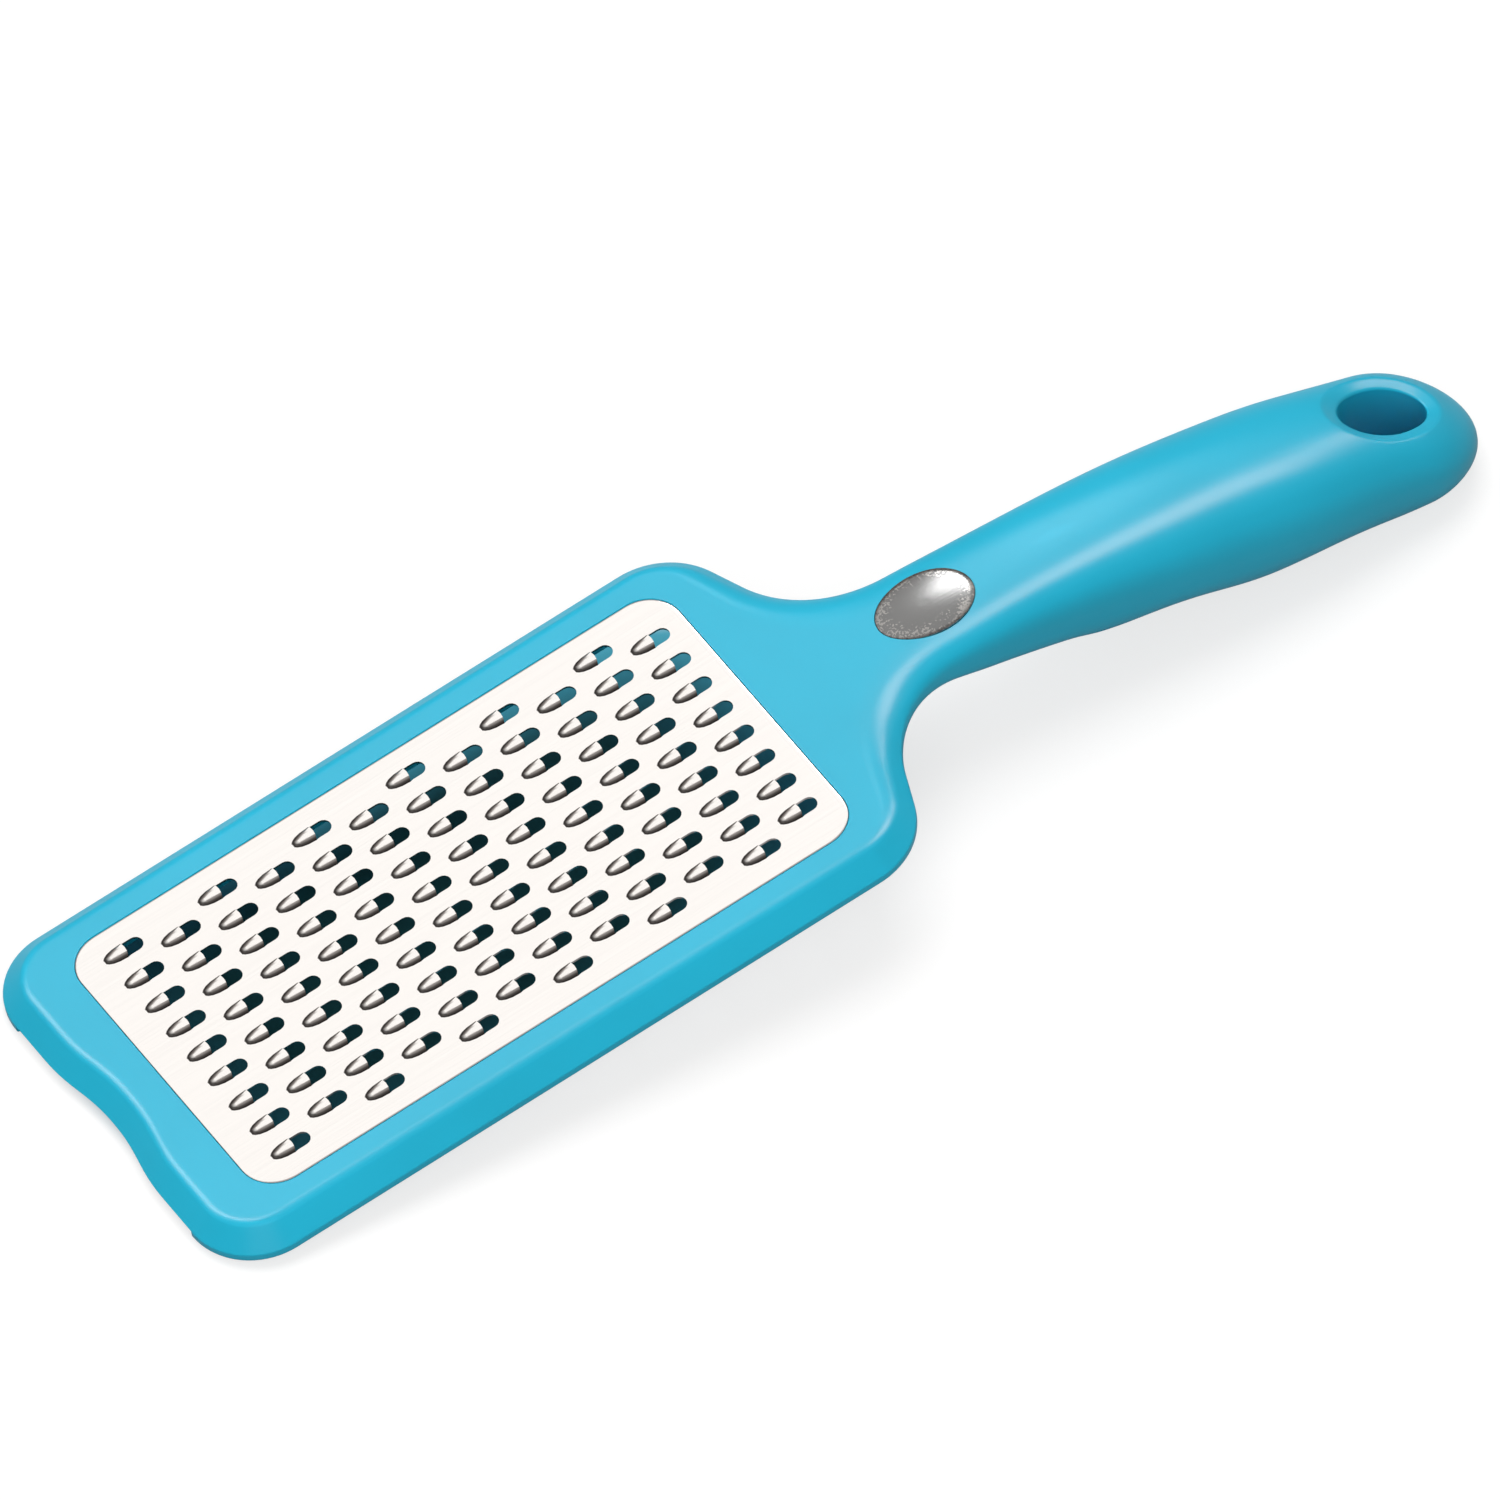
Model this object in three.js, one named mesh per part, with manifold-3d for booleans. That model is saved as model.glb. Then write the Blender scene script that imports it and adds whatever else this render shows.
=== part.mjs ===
// Paddle grater with an angled handle: a stamped steel plate in a moulded frame, clamped from below by a
// ring, a moulded handle closed by a cover on its underside, and an oval badge let into the neck.
//
// The pieces are drawn in the plate's own frame: X runs from the nose to the handle, Y across, Z along the
// plate's normal, with the origin at the middle of the opening on the rim's top. The finished grater is
// then set down on a table, where it stands on its nose and on the underside of the handle's end.
// Lengths are millimetres and angles are degrees.

import * as THREE from 'three';
import { mergeGeometries, mergeVertices } from 'three/addons/utils/BufferGeometryUtils.js';
import Module from 'manifold-3d';

// Fits
const CLEARANCE = 0.3;

// Opening in the frame, and the rail around it
const OPENING_LENGTH = 116.7;
const OPENING_WIDTH = 60;
const OPENING_CORNER = 6.4;
const RIM_WIDTH = 4.4;
const CHAMFER_WIDTH = 3.75;
const CHAMFER_HEIGHT = 4;
const FRAME_DEPTH = 5.75;
const EDGE_ROUND = 0.45;
const LIP_THICKNESS = 1;
const CHANNEL_WIDTH = 3.7;

// Nose
const NOSE_BAR = 11.9;
const NOSE_CORNER = 12.2;
const SCALLOP_DEPTH = 1.85;
const SCALLOP_HALF_WIDTH = 17.5;
const HEEL_RELIEF_WIDTH = 51.4;
const HEEL_RELIEF_HEIGHT = 1.75;
const HEEL_RELIEF_LENGTH = 4;

// Shoulders and neck, in plan
const SHOULDER_LEAD = 3;
const SHOULDER_RADIUS = 13.5;
const SHOULDER_TURN = 69;
const NECK_RADIUS = 20;
const NECK_HALF_WIDTH = 10.8;

// Handle in plan, from the neck to the belly, the tail and its round end
const BELLY_FROM_NECK = 63.3;
const BELLY_HALF_WIDTH = 13.6;
const TAIL_FROM_BELLY = 25.4;
const TAIL_HALF_WIDTH = 12.4;
const TAIL_ROUND = 14.2;

// Handle from the side: how far its top and its underside fall by the end, and where they start to
const TOP_BEND_LEAD = 17;
const TOP_FALL = 30.9;
const TOP_ARM_START = 36;
const TOP_ARM_END = 28;
const TOP_ARM_FALL = 7.2;
const UNDERSIDE_LEAD = 20.5;
const UNDERSIDE_FALL = 37.6;
const UNDERSIDE_ARM_START = 41;
const UNDERSIDE_ARM_START_FALL = 9.4;
const UNDERSIDE_ARM_END = 46.3;
const UNDERSIDE_ARM_END_FALL = 34.8;
const FINGER_WAVE_RISE = 1.7;
const FINGER_WAVE_PITCH = 30;
const FINGER_WAVES_FROM_NECK = 19.3;

// Section of the handle: squarer at the neck, rounder in the grip, and blended into the rail's section
const NECK_SQUARENESS = 3;
const GRIP_SQUARENESS = 2.2;
const BLEND_LEAD = 23;
const BLEND_LENGTH = 30;
const FLAT_ABOVE = 4.2;
const FLAT_BELOW = 7.5;

// Hollow of the handle, its ribs, and the cover that closes it
const HANDLE_WALL = 2.2;
const CORE_FROM_NECK = 13;
const CORE_TO_HOLE = 2.6;
const RIB_THICKNESS = 1.6;
const RIB_COUNT = 3;
const COVER_FROM_NECK = 6;
const COVER_MARGIN = 3;
const PARTING_SHARE = 0.62;
const TONGUE_HEIGHT = 1.8;
const TONGUE_THICKNESS = 1;

// Hang hole, an oval bore along the plate's normal with a dished rim
const HOLE_FROM_END = 14.9;
const HOLE_LENGTH = 15;
const HOLE_WIDTH = 10.7;
const DISH_WIDTH = 2.4;
const DISH_DEPTH = 1.7;

// Badge
const BADGE_FROM_NECK = 1.4;
const BADGE_LENGTH = 17.7;
const BADGE_WIDTH = 12.4;
const BADGE_FULLNESS = 0.1;
const BADGE_SINK = 1;
const BADGE_EDGE = 0.25;
const BADGE_CROWN = 0.95;
const STUD_RADIUS = 1;
const STUD_LENGTH = 2.5;
const STUD_SPACING = 8;

// Grating plate: a sheet with its border set down so that the flange lies under the rim's lip
const SHEET = 0.6;
const FLANGE_WIDTH = 3.2;
const TOOTH_COLUMNS = 12;
const TOOTH_ROWS = 9;
const COLUMN_PITCH = 9.15;
const ROW_PITCH = 6.12;
const FIELD_SHIFT = 0.7;
const HOOD_LENGTH = 4.1;
const HOOD_HALF_WIDTH = 1.75;
const HOOD_HEIGHT = 1.4;
const HOOD_WALL = 0.45;
const HOOD_TAPER = 2;
const HOOD_SLOPE = 1.6;
const HOLLOW_SHARE = 0.68;
const WINDOW_LENGTH = 3.6;
const WINDOW_HALF_WIDTH = 1.5;

// Retaining ring, and the stakes of the frame that hold it
const RING_INNER_STEP = 1.6;
const STAKE_RADIUS = 0.8;
const STAKE_HEAD_RADIUS = 1.4;
const STAKE_TIP_RADIUS = 1;
const STAKE_HEAD_HEIGHT = 0.7;
const STAKE_INSET = 1.3;
const STAKES_PER_SIDE = 3;
const STAKE_SPACING = 40;

// Facets
const SIDE_STEPS = 10;
const ARC_STEPS = 6;
const CORNER_STEPS = 4;
const SCALLOP_STEPS = 7;
const UNDER_STEPS = 3;
const EDGE_STEPS = 2;
const DOME_STEPS = 4;
const CORE_SIDES = 12;
const OVAL_STEPS = 24;
const STUD_SIDES = 10;
const STAKE_SIDES = 6;
const HOOD_STEPS = 4;
const HOLLOW_STEPS = 3;
const WINDOW_STEPS = 2;

// Colours, and how rough the finishes are
const TURQUOISE = 0x2fb4da;
const STEEL = 0xe8e4de;
const BADGE_METAL = 0xa6a6a6;
const GLOSS = 0.3;
const SATIN = 0.4;

const wasm = await Module();
wasm.setup();

// Measures that follow from the sizes above
const openingFront = -OPENING_LENGTH / 2;
const openingRear = OPENING_LENGTH / 2;
const noseX = openingFront - NOSE_BAR;
const sideY = OPENING_WIDTH / 2 + RIM_WIDTH + CHAMFER_WIDTH;
const turn = THREE.MathUtils.degToRad(SHOULDER_TURN);
const shoulderX = openingRear - SHOULDER_LEAD;
const radii = SHOULDER_RADIUS + NECK_RADIUS;
const slant = (sideY - NECK_HALF_WIDTH - radii * (1 - Math.cos(turn))) / Math.sin(turn);
const neckX = shoulderX + radii * Math.sin(turn) + slant * Math.cos(turn);
const bellyX = neckX + BELLY_FROM_NECK;
const tailX = bellyX + TAIL_FROM_BELLY;
const endX = tailX + TAIL_ROUND;
const holeX = endX - HOLE_FROM_END;
const coreStart = neckX + CORE_FROM_NECK;
const coreEnd = holeX - HOLE_LENGTH / 2 - DISH_WIDTH - CORE_TO_HOLE;
const coverStart = neckX + COVER_FROM_NECK;
const coverEnd = coreEnd + COVER_MARGIN;
const badgeX = neckX + BADGE_FROM_NECK;
const flangeTop = -LIP_THICKNESS - CLEARANCE;
const flangeUnder = flangeTop - SHEET;
const far = 100;
const halvings = 40;
const easing = 0.45;

const vec2 = (x, y) => new THREE.Vector2(x, y);
const vec3 = (x, y, z) => new THREE.Vector3(x, y, z);
const steps = (count) => Array.from({ length: count + 1 }, (_, i) => i / count);
const range = (from, to, count) => steps(count).map((t) => from + (to - from) * t);

// Solids: a closed geometry becomes a solid for joining and cutting, without its faces of no area, and a
// solid becomes a geometry again.

function toSolid(geometry) {
  const bare = new THREE.BufferGeometry();
  bare.setAttribute('position', geometry.getAttribute('position').clone());
  bare.setIndex(geometry.getIndex());
  const merged = mergeVertices(bare, 1e-4);
  const corners = Array.from(merged.getIndex().array);
  const faces = [];
  for (let i = 0; i < corners.length; i += 3) {
    const face = corners.slice(i, i + 3);
    if (new Set(face).size === 3) faces.push(...face);
  }
  return new wasm.Manifold(new wasm.Mesh({
    numProp: 3,
    vertProperties: new Float32Array(merged.getAttribute('position').array),
    triVerts: new Uint32Array(faces),
  }));
}

function toGeometry(solid) {
  const mesh = solid.getMesh();
  const positions = new Float32Array(mesh.numVert * 3);
  for (let i = 0; i < mesh.numVert; i++) {
    for (let axis = 0; axis < 3; axis++) {
      positions[3 * i + axis] = mesh.vertProperties[mesh.numProp * i + axis];
    }
  }
  const geometry = new THREE.BufferGeometry();
  geometry.setAttribute('position', new THREE.BufferAttribute(positions, 3));
  geometry.setIndex(Array.from(mesh.triVerts));
  geometry.computeVertexNormals();
  return geometry;
}

// Joins rings of equally many points into one closed skin. closed gives the faces that fill a ring, seen
// from the side towards which the rings follow each other.
function loft(rings, closed) {
  const count = rings[0].length;
  const faces = [];
  for (let level = 0; level + 1 < rings.length; level++) {
    for (let i = 0; i < count; i++) {
      const a = level * count + i;
      const b = level * count + (i + 1) % count;
      faces.push(a, b, b + count, a, b + count, a + count);
    }
  }
  const last = (rings.length - 1) * count;
  for (const [a, b, c] of closed(rings[0])) faces.push(a, c, b);
  for (const [a, b, c] of closed(rings.at(-1))) faces.push(last + a, last + b, last + c);
  const geometry = new THREE.BufferGeometry().setFromPoints(rings.flat());
  geometry.setIndex(faces);
  return geometry;
}

const fill = (outline) => THREE.ShapeUtils.triangulateShape(outline, []);
const fromAbove = (ring) => fill(ring.map((point) => vec2(point.x, point.y)));
const alongX = (ring) => fill(ring.map((point) => vec2(point.y, point.z)));

// Fills a ring of the outer skin: the flat frame in one go, and the bent handle in strips from each point
// to its mirror image
function acrossY(ring) {
  const neck = ring.findIndex((point) => point.x > blendStart);
  const flat = ring.map((_, i) => i).filter((i) => i <= neck || i >= ring.length - neck);
  const faces = fromAbove(flat.map((i) => ring[i])).map((face) => face.map((corner) => flat[corner]));
  for (let a = neck; a < ring.length / 2; a++) {
    const b = a + 1;
    const c = ring.length - b;
    const d = (ring.length - a) % ring.length;
    faces.push([a, b, c], [a, c, d]);
  }
  return faces;
}

// A flat outline at a height
const lift = (outline, z) => outline.map((point) => vec3(point.x, point.y, z));

function roundedRectangle(halfLength, halfWidth, corner) {
  const shape = new THREE.Shape();
  shape.absarc(halfLength - corner, halfWidth - corner, corner, 0, Math.PI / 2);
  shape.absarc(corner - halfLength, halfWidth - corner, corner, Math.PI / 2, Math.PI);
  shape.absarc(corner - halfLength, corner - halfWidth, corner, Math.PI, 1.5 * Math.PI);
  shape.absarc(halfLength - corner, corner - halfWidth, corner, 1.5 * Math.PI, 2 * Math.PI);
  return shape.getPoints(CORNER_STEPS);
}

// The opening's outline, grown by a margin
function openingOutline(margin) {
  return roundedRectangle(OPENING_LENGTH / 2 + margin, OPENING_WIDTH / 2 + margin, OPENING_CORNER + margin);
}

function ellipse(halfLength, halfWidth, count = OVAL_STEPS) {
  return steps(count).slice(0, -1).map((t) => {
    return vec2(halfLength * Math.cos(2 * Math.PI * t), halfWidth * Math.sin(2 * Math.PI * t));
  });
}

// Curves of the handle

// The ordinate of a curve that advances steadily in X
function ordinate(curve, x) {
  let low = 0;
  let high = 1;
  for (let i = 0; i < halvings; i++) {
    const middle = (low + high) / 2;
    if (curve.getPoint(middle).x < x) low = middle;
    else high = middle;
  }
  return curve.getPoint(low).y;
}

const bezier = (...points) => new THREE.CubicBezierCurve(...points.map(([x, y]) => vec2(x, y)));

// An S-shaped curve that is level at both ends
function ease(x0, y0, x1, y1) {
  const arm = easing * (x1 - x0);
  return bezier([x0, y0], [x0 + arm, y0], [x1 - arm, y1], [x1, y1]);
}

const neckToBelly = ease(neckX, NECK_HALF_WIDTH, bellyX, BELLY_HALF_WIDTH);
const bellyToTail = ease(bellyX, BELLY_HALF_WIDTH, tailX, TAIL_HALF_WIDTH);
const bendX = neckX - TOP_BEND_LEAD;
const undersideX = neckX - UNDERSIDE_LEAD;
const topCurve = bezier(
  [bendX, 0],
  [bendX + TOP_ARM_START, 0],
  [endX - TOP_ARM_END, -TOP_ARM_FALL],
  [endX, -TOP_FALL],
);
const undersideCurve = bezier(
  [undersideX, -FRAME_DEPTH],
  [undersideX + UNDERSIDE_ARM_START, -FRAME_DEPTH - UNDERSIDE_ARM_START_FALL],
  [endX - UNDERSIDE_ARM_END, -FRAME_DEPTH - UNDERSIDE_ARM_END_FALL],
  [endX, -FRAME_DEPTH - UNDERSIDE_FALL],
);

const halfWidth = (x) => ordinate(x < bellyX ? neckToBelly : bellyToTail, x);
const topLine = (x) => (x < bendX ? 0 : ordinate(topCurve, x));
const straightUnderside = (x) => (x < undersideX ? -FRAME_DEPTH : ordinate(undersideCurve, x));
const midLine = (x) => (topLine(x) + straightUnderside(x)) / 2;

// Shallow swells of the underside that part the fingers
function fingerWave(x) {
  const run = x - neckX - FINGER_WAVES_FROM_NECK;
  const onset = THREE.MathUtils.smoothstep(run, 0, FINGER_WAVE_PITCH / 4);
  return onset * FINGER_WAVE_RISE / 2 * Math.sin(2 * Math.PI * run / FINGER_WAVE_PITCH);
}

const underside = (x) => straightUnderside(x) - fingerWave(x);
const blendStart = neckX - BLEND_LEAD;
const blend = (x) => THREE.MathUtils.smoothstep(x, blendStart, blendStart + BLEND_LENGTH);

function squareness(x) {
  const share = THREE.MathUtils.smoothstep(x, neckX, bellyX);
  return THREE.MathUtils.lerp(NECK_SQUARENESS, GRIP_SQUARENESS, share);
}

// How far out a point of the handle lies, from 0 on the spine to 1 on the outline
function reach(x, y) {
  if (x <= tailX) return Math.abs(y) / halfWidth(x);
  return Math.hypot((x - tailX) / TAIL_ROUND, y / TAIL_HALF_WIDTH);
}

// Height of the handle's upper or lower skin over a point
function skinHeight(x, y, edgeLine) {
  const power = squareness(x);
  const share = (1 - Math.min(1, reach(x, y)) ** power) ** (1 / power);
  return midLine(x) + (edgeLine(x) - midLine(x)) * share;
}

// Outer skin of the frame and handle

// Half of the outline in plan, from the middle of the nose to the handle's end, with the outward normals
function halfOutline() {
  const right = Math.PI / 2;
  const noseRun = sideY - NOSE_CORNER;
  const dip = noseX + SCALLOP_DEPTH;
  const bow = easing * SCALLOP_HALF_WIDTH;
  const line = (x0, y0, x1, y1) => new THREE.LineCurve(vec2(x0, y0), vec2(x1, y1));
  const arc = (x, y, radius, from, to, clockwise) => {
    return new THREE.EllipseCurve(x, y, radius, radius, from, to, clockwise);
  };
  const scallop = bezier(
    [dip, 0],
    [dip, bow],
    [noseX, SCALLOP_HALF_WIDTH - bow],
    [noseX, SCALLOP_HALF_WIDTH],
  );
  const shoulder = arc(shoulderX, sideY - SHOULDER_RADIUS, SHOULDER_RADIUS, right, right - turn, true);
  const neck = arc(neckX, NECK_HALF_WIDTH + NECK_RADIUS, NECK_RADIUS, 3 * right - turn, 3 * right, false);
  const runs = [
    [scallop, SCALLOP_STEPS],
    [line(noseX, SCALLOP_HALF_WIDTH, noseX, noseRun), 1],
    [arc(noseX + NOSE_CORNER, noseRun, NOSE_CORNER, 2 * right, right, true), ARC_STEPS + 1],
    [line(noseX + NOSE_CORNER, sideY, shoulderX, sideY), 1],
    [shoulder, ARC_STEPS],
    [new THREE.LineCurve(shoulder.getPoint(1), neck.getPoint(0)), 1],
    [neck, ARC_STEPS],
    [neckToBelly, SIDE_STEPS],
    [bellyToTail, SIDE_STEPS / 2],
    [new THREE.EllipseCurve(tailX, 0, TAIL_ROUND, TAIL_HALF_WIDTH, right, 0, true), ARC_STEPS + 1],
  ];
  const outline = [];
  for (const [curve, count] of runs) {
    for (const t of steps(count).slice(outline.length ? 1 : 0)) {
      const along = curve.getTangent(t);
      outline.push({ point: curve.getPoint(t), normal: vec2(-along.y, along.x) });
    }
  }
  return outline;
}

// Levels of the skin from below to above: on the rail an inset and a height, on the handle an angle
function skinLevels() {
  const onChamfer = (share) => vec2(share * CHAMFER_WIDTH, (share - 1) * CHAMFER_HEIGHT);
  const under = range(FLAT_BELOW, EDGE_ROUND, UNDER_STEPS).map((inset) => vec2(inset, -FRAME_DEPTH));
  const edge = new THREE.QuadraticBezierCurve(
    onChamfer(1 - EDGE_ROUND / CHAMFER_WIDTH),
    onChamfer(1),
    vec2(CHAMFER_WIDTH + 2 * EDGE_ROUND, 0),
  );
  const levels = [
    ...under,
    vec2(0, EDGE_ROUND - FRAME_DEPTH),
    onChamfer(0),
    onChamfer(1 / 2),
    ...edge.getPoints(EDGE_STEPS),
    vec2(CHAMFER_WIDTH + FLAT_ABOVE, 0),
  ];
  return levels.map((level, i) => {
    return { inset: level.x, z: level.y, angle: Math.PI * ((i + 1 / 2) / levels.length - 1 / 2) };
  });
}

function skinRing(outline, level) {
  const angle = Math.abs(level.angle);
  const edgeLine = level.angle > 0 ? topLine : underside;
  const half = outline.map(({ point, normal }) => {
    const rail = point.clone().addScaledVector(normal, -level.inset);
    const amount = blend(point.x);
    if (amount === 0) return vec3(rail.x, rail.y, level.z);
    const spine = vec2(Math.min(point.x, tailX), 0);
    const power = squareness(point.x);
    const grip = spine.clone().lerp(point, Math.cos(angle) ** (2 / power));
    const height = midLine(grip.x) + (edgeLine(grip.x) - midLine(grip.x)) * Math.sin(angle) ** (2 / power);
    const plan = rail.lerp(grip, amount);
    return vec3(plan.x, plan.y, THREE.MathUtils.lerp(level.z, height, amount));
  });
  const near = half.map((point) => vec3(point.x, -point.y, point.z));
  return [...near, ...half.slice(1, -1).reverse()];
}

function outerSkin() {
  const outline = halfOutline();
  return toSolid(loft(skinLevels().map((level) => skinRing(outline, level)), acrossY));
}

// The hollow of the handle, drawn in by a margin from the wall
function handleCore(margin) {
  const inset = HANDLE_WALL + margin;
  const stations = range(coreStart + margin, coreEnd - margin, SIDE_STEPS);
  const rings = stations.map((x) => {
    const power = squareness(x);
    return steps(CORE_SIDES).slice(0, -1).map((t) => {
      const angle = 2 * Math.PI * t;
      const cos = Math.cos(angle);
      const sin = Math.sin(angle);
      const edgeLine = sin > 0 ? topLine(x) - inset : underside(x) + inset;
      const y = (halfWidth(x) - inset) * Math.sign(cos) * Math.abs(cos) ** (2 / power);
      return vec3(x, y, midLine(x) + (edgeLine - midLine(x)) * Math.abs(sin) ** (2 / power));
    });
  });
  return toSolid(loft(rings, alongX));
}

// Everything between two lines seen from the side, over a stretch of the handle
function sideSlice(fromX, toX, lower, upper, halfSpan = far) {
  const rings = range(fromX, toX, SIDE_STEPS).map((x) => [
    vec3(x, -halfSpan, lower(x)),
    vec3(x, halfSpan, lower(x)),
    vec3(x, halfSpan, upper(x)),
    vec3(x, -halfSpan, upper(x)),
  ]);
  return toSolid(loft(rings, alongX));
}

const deep = () => -far;
const parting = (x) => midLine(x) + PARTING_SHARE * (straightUnderside(x) - midLine(x));

// Cross ribs that stiffen the upper shell, clear of the cover's tongue
function coreRibs() {
  const pitch = (coreEnd - coreStart) / (RIB_COUNT + 1);
  const foot = (x) => parting(x) + TONGUE_HEIGHT + CLEARANCE;
  let ribs = null;
  for (let i = 1; i <= RIB_COUNT; i++) {
    const x = coreStart + i * pitch;
    const rib = sideSlice(x - RIB_THICKNESS / 2, x + RIB_THICKNESS / 2, foot, () => far);
    ribs = ribs ? ribs.add(rib) : rib;
  }
  return ribs;
}

// The hang hole: an oval bore, dished where it meets the skin above and below
function hangHole() {
  const bore = ellipse(HOLE_LENGTH / 2, HOLE_WIDTH / 2);
  const dish = ellipse(HOLE_LENGTH / 2 + DISH_WIDTH, HOLE_WIDTH / 2 + DISH_WIDTH);
  const over = ellipse(HOLE_LENGTH / 2 + 2 * DISH_WIDTH, HOLE_WIDTH / 2 + 2 * DISH_WIDTH);
  const drape = (oval, edgeLine, rise, cover = oval) => oval.map((point, i) => {
    const height = skinHeight(cover[i].x + holeX, cover[i].y, edgeLine);
    return vec3(point.x + holeX, point.y, height + rise);
  });
  const beyond = (z) => over.map((point) => vec3(point.x + holeX, point.y, z));
  return toSolid(loft([
    beyond(-far),
    drape(over, underside, -DISH_DEPTH, dish),
    drape(dish, underside, 0),
    drape(bore, underside, DISH_DEPTH),
    drape(bore, topLine, -DISH_DEPTH),
    drape(dish, topLine, 0),
    drape(over, topLine, DISH_DEPTH, dish),
    beyond(far),
  ], fromAbove));
}

// Stakes that stand on the lip's underside, pass through the plate's flange and the ring, and end in a head

function stakePlaces() {
  const middle = OPENING_WIDTH / 2 + STAKE_INSET;
  const places = [vec2(openingFront - STAKE_INSET, 0), vec2(openingRear + STAKE_INSET, 0)];
  for (let i = 0; i < STAKES_PER_SIDE; i++) {
    const x = (i - (STAKES_PER_SIDE - 1) / 2) * STAKE_SPACING;
    places.push(vec2(x, middle), vec2(x, -middle));
  }
  return places;
}

// Copies of one upright turned profile, given as radius and height from the bottom up, at every stake
function atStakes(profile) {
  const points = profile.map(([radius, z]) => vec2(radius, z));
  const turned = new THREE.LatheGeometry(points, STAKE_SIDES).rotateX(Math.PI / 2);
  return toSolid(mergeGeometries(stakePlaces().map(({ x, y }) => turned.clone().translate(x, y, 0))));
}

const ringUnder = CLEARANCE - FRAME_DEPTH;
const headTop = ringUnder + STAKE_HEAD_HEIGHT;

function stakes() {
  return atStakes([
    [0, ringUnder],
    [STAKE_TIP_RADIUS, ringUnder],
    [STAKE_HEAD_RADIUS, headTop],
    [STAKE_RADIUS, headTop],
    [STAKE_RADIUS, -LIP_THICKNESS / 2],
    [0, -LIP_THICKNESS / 2],
  ]);
}

function stakeHoles() {
  return atStakes([
    [0, -far],
    [STAKE_HEAD_RADIUS + CLEARANCE, -far],
    [STAKE_HEAD_RADIUS + CLEARANCE, headTop + CLEARANCE],
    [STAKE_RADIUS + CLEARANCE, headTop + CLEARANCE],
    [STAKE_RADIUS + CLEARANCE, flangeTop + CLEARANCE / 2],
    [0, flangeTop + CLEARANCE / 2],
  ]);
}

// Badge, drawn about its own middle with its seat at zero height

const badgeSlope = Math.atan2(topLine(badgeX - 1) - topLine(badgeX + 1), 2);

// The oval is a little fuller towards the handle
function badgeOval(margin, z) {
  return ellipse(BADGE_LENGTH / 2 + margin, BADGE_WIDTH / 2 + margin).map((point) => {
    return vec3(point.x, point.y * (1 + BADGE_FULLNESS * point.x / BADGE_LENGTH), z);
  });
}

function studs(margin) {
  const radius = STUD_RADIUS + margin;
  const length = STUD_LENGTH + margin;
  const root = BADGE_SINK / 2;
  const stud = new THREE.CylinderGeometry(radius, radius, length + root, STUD_SIDES).rotateX(Math.PI / 2);
  const z = -root - (length + root) / 2;
  const pair = [-1, 1].map((end) => stud.clone().translate(end * STUD_SPACING / 2, 0, z));
  return toSolid(mergeGeometries(pair));
}

function badgeSolid() {
  const dome = steps(DOME_STEPS).slice(1, -1).map((t) => {
    const rise = (BADGE_CROWN - BADGE_EDGE) * Math.sin(t * Math.PI / 2);
    return badgeOval(-t * BADGE_WIDTH / 2, BADGE_EDGE + rise);
  });
  const rim = [badgeOval(0, -BADGE_SINK), badgeOval(0, BADGE_EDGE / 2), badgeOval(-BADGE_EDGE, BADGE_EDGE)];
  return toSolid(loft([...rim, ...dome], fromAbove)).add(studs(0));
}

function badgeRecess() {
  const rings = [badgeOval(CLEARANCE, -BADGE_SINK - CLEARANCE), badgeOval(CLEARANCE, far)];
  const recess = loft(rings, fromAbove);
  return toSolid(recess).add(studs(CLEARANCE));
}

function placeBadge(object) {
  object.rotation.y = badgeSlope;
  object.position.set(badgeX, 0, topLine(badgeX));
  return object;
}

function inBadgePlace(solid) {
  const place = placeBadge(new THREE.Object3D());
  place.updateMatrix();
  return toSolid(toGeometry(solid).applyMatrix4(place.matrix));
}

// The pieces

function frameBody() {
  const lipCut = loft([lift(openingOutline(0), -far), lift(openingOutline(0), far)], fromAbove);
  const channel = openingOutline(CHANNEL_WIDTH);
  const channelCut = loft([lift(channel, -far), lift(channel, -LIP_THICKNESS)], fromAbove);
  const relief = new THREE.BoxGeometry(2 * HEEL_RELIEF_LENGTH, HEEL_RELIEF_WIDTH, 2 * HEEL_RELIEF_HEIGHT);
  relief.translate(noseX, 0, -FRAME_DEPTH);
  const seatTop = (x) => parting(x) + CLEARANCE;
  const coverSeat = sideSlice(coverStart - CLEARANCE, coverEnd + CLEARANCE, deep, seatTop);
  return outerSkin()
    .subtract(toSolid(lipCut))
    .subtract(toSolid(channelCut))
    .subtract(toSolid(relief))
    .subtract(coverSeat)
    .subtract(handleCore(0).subtract(coreRibs()))
    .subtract(hangHole())
    .subtract(inBadgePlace(badgeRecess()))
    .add(stakes());
}

function handleBackCover() {
  const shell = outerSkin().intersect(sideSlice(coverStart, coverEnd, deep, parting));
  const lower = (x) => parting(x) - TONGUE_HEIGHT;
  const upper = (x) => parting(x) + TONGUE_HEIGHT;
  const tongue = handleCore(CLEARANCE).intersect(sideSlice(coverStart, coverEnd, lower, upper));
  return shell.add(tongue).subtract(handleCore(CLEARANCE + TONGUE_THICKNESS));
}

function plateRetainer() {
  const outer = openingOutline(CHANNEL_WIDTH - CLEARANCE);
  const inner = openingOutline(-RING_INNER_STEP);
  const top = flangeUnder - CLEARANCE;
  const block = loft([lift(outer, ringUnder), lift(outer, top)], fromAbove);
  const hole = loft([lift(inner, -far), lift(inner, far)], fromAbove);
  return toSolid(block).subtract(toSolid(hole)).subtract(stakeHoles());
}

// One tooth: a hood that rises from a point to its cutting edge, and the window beyond the edge, which lies
// at zero X.

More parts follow.
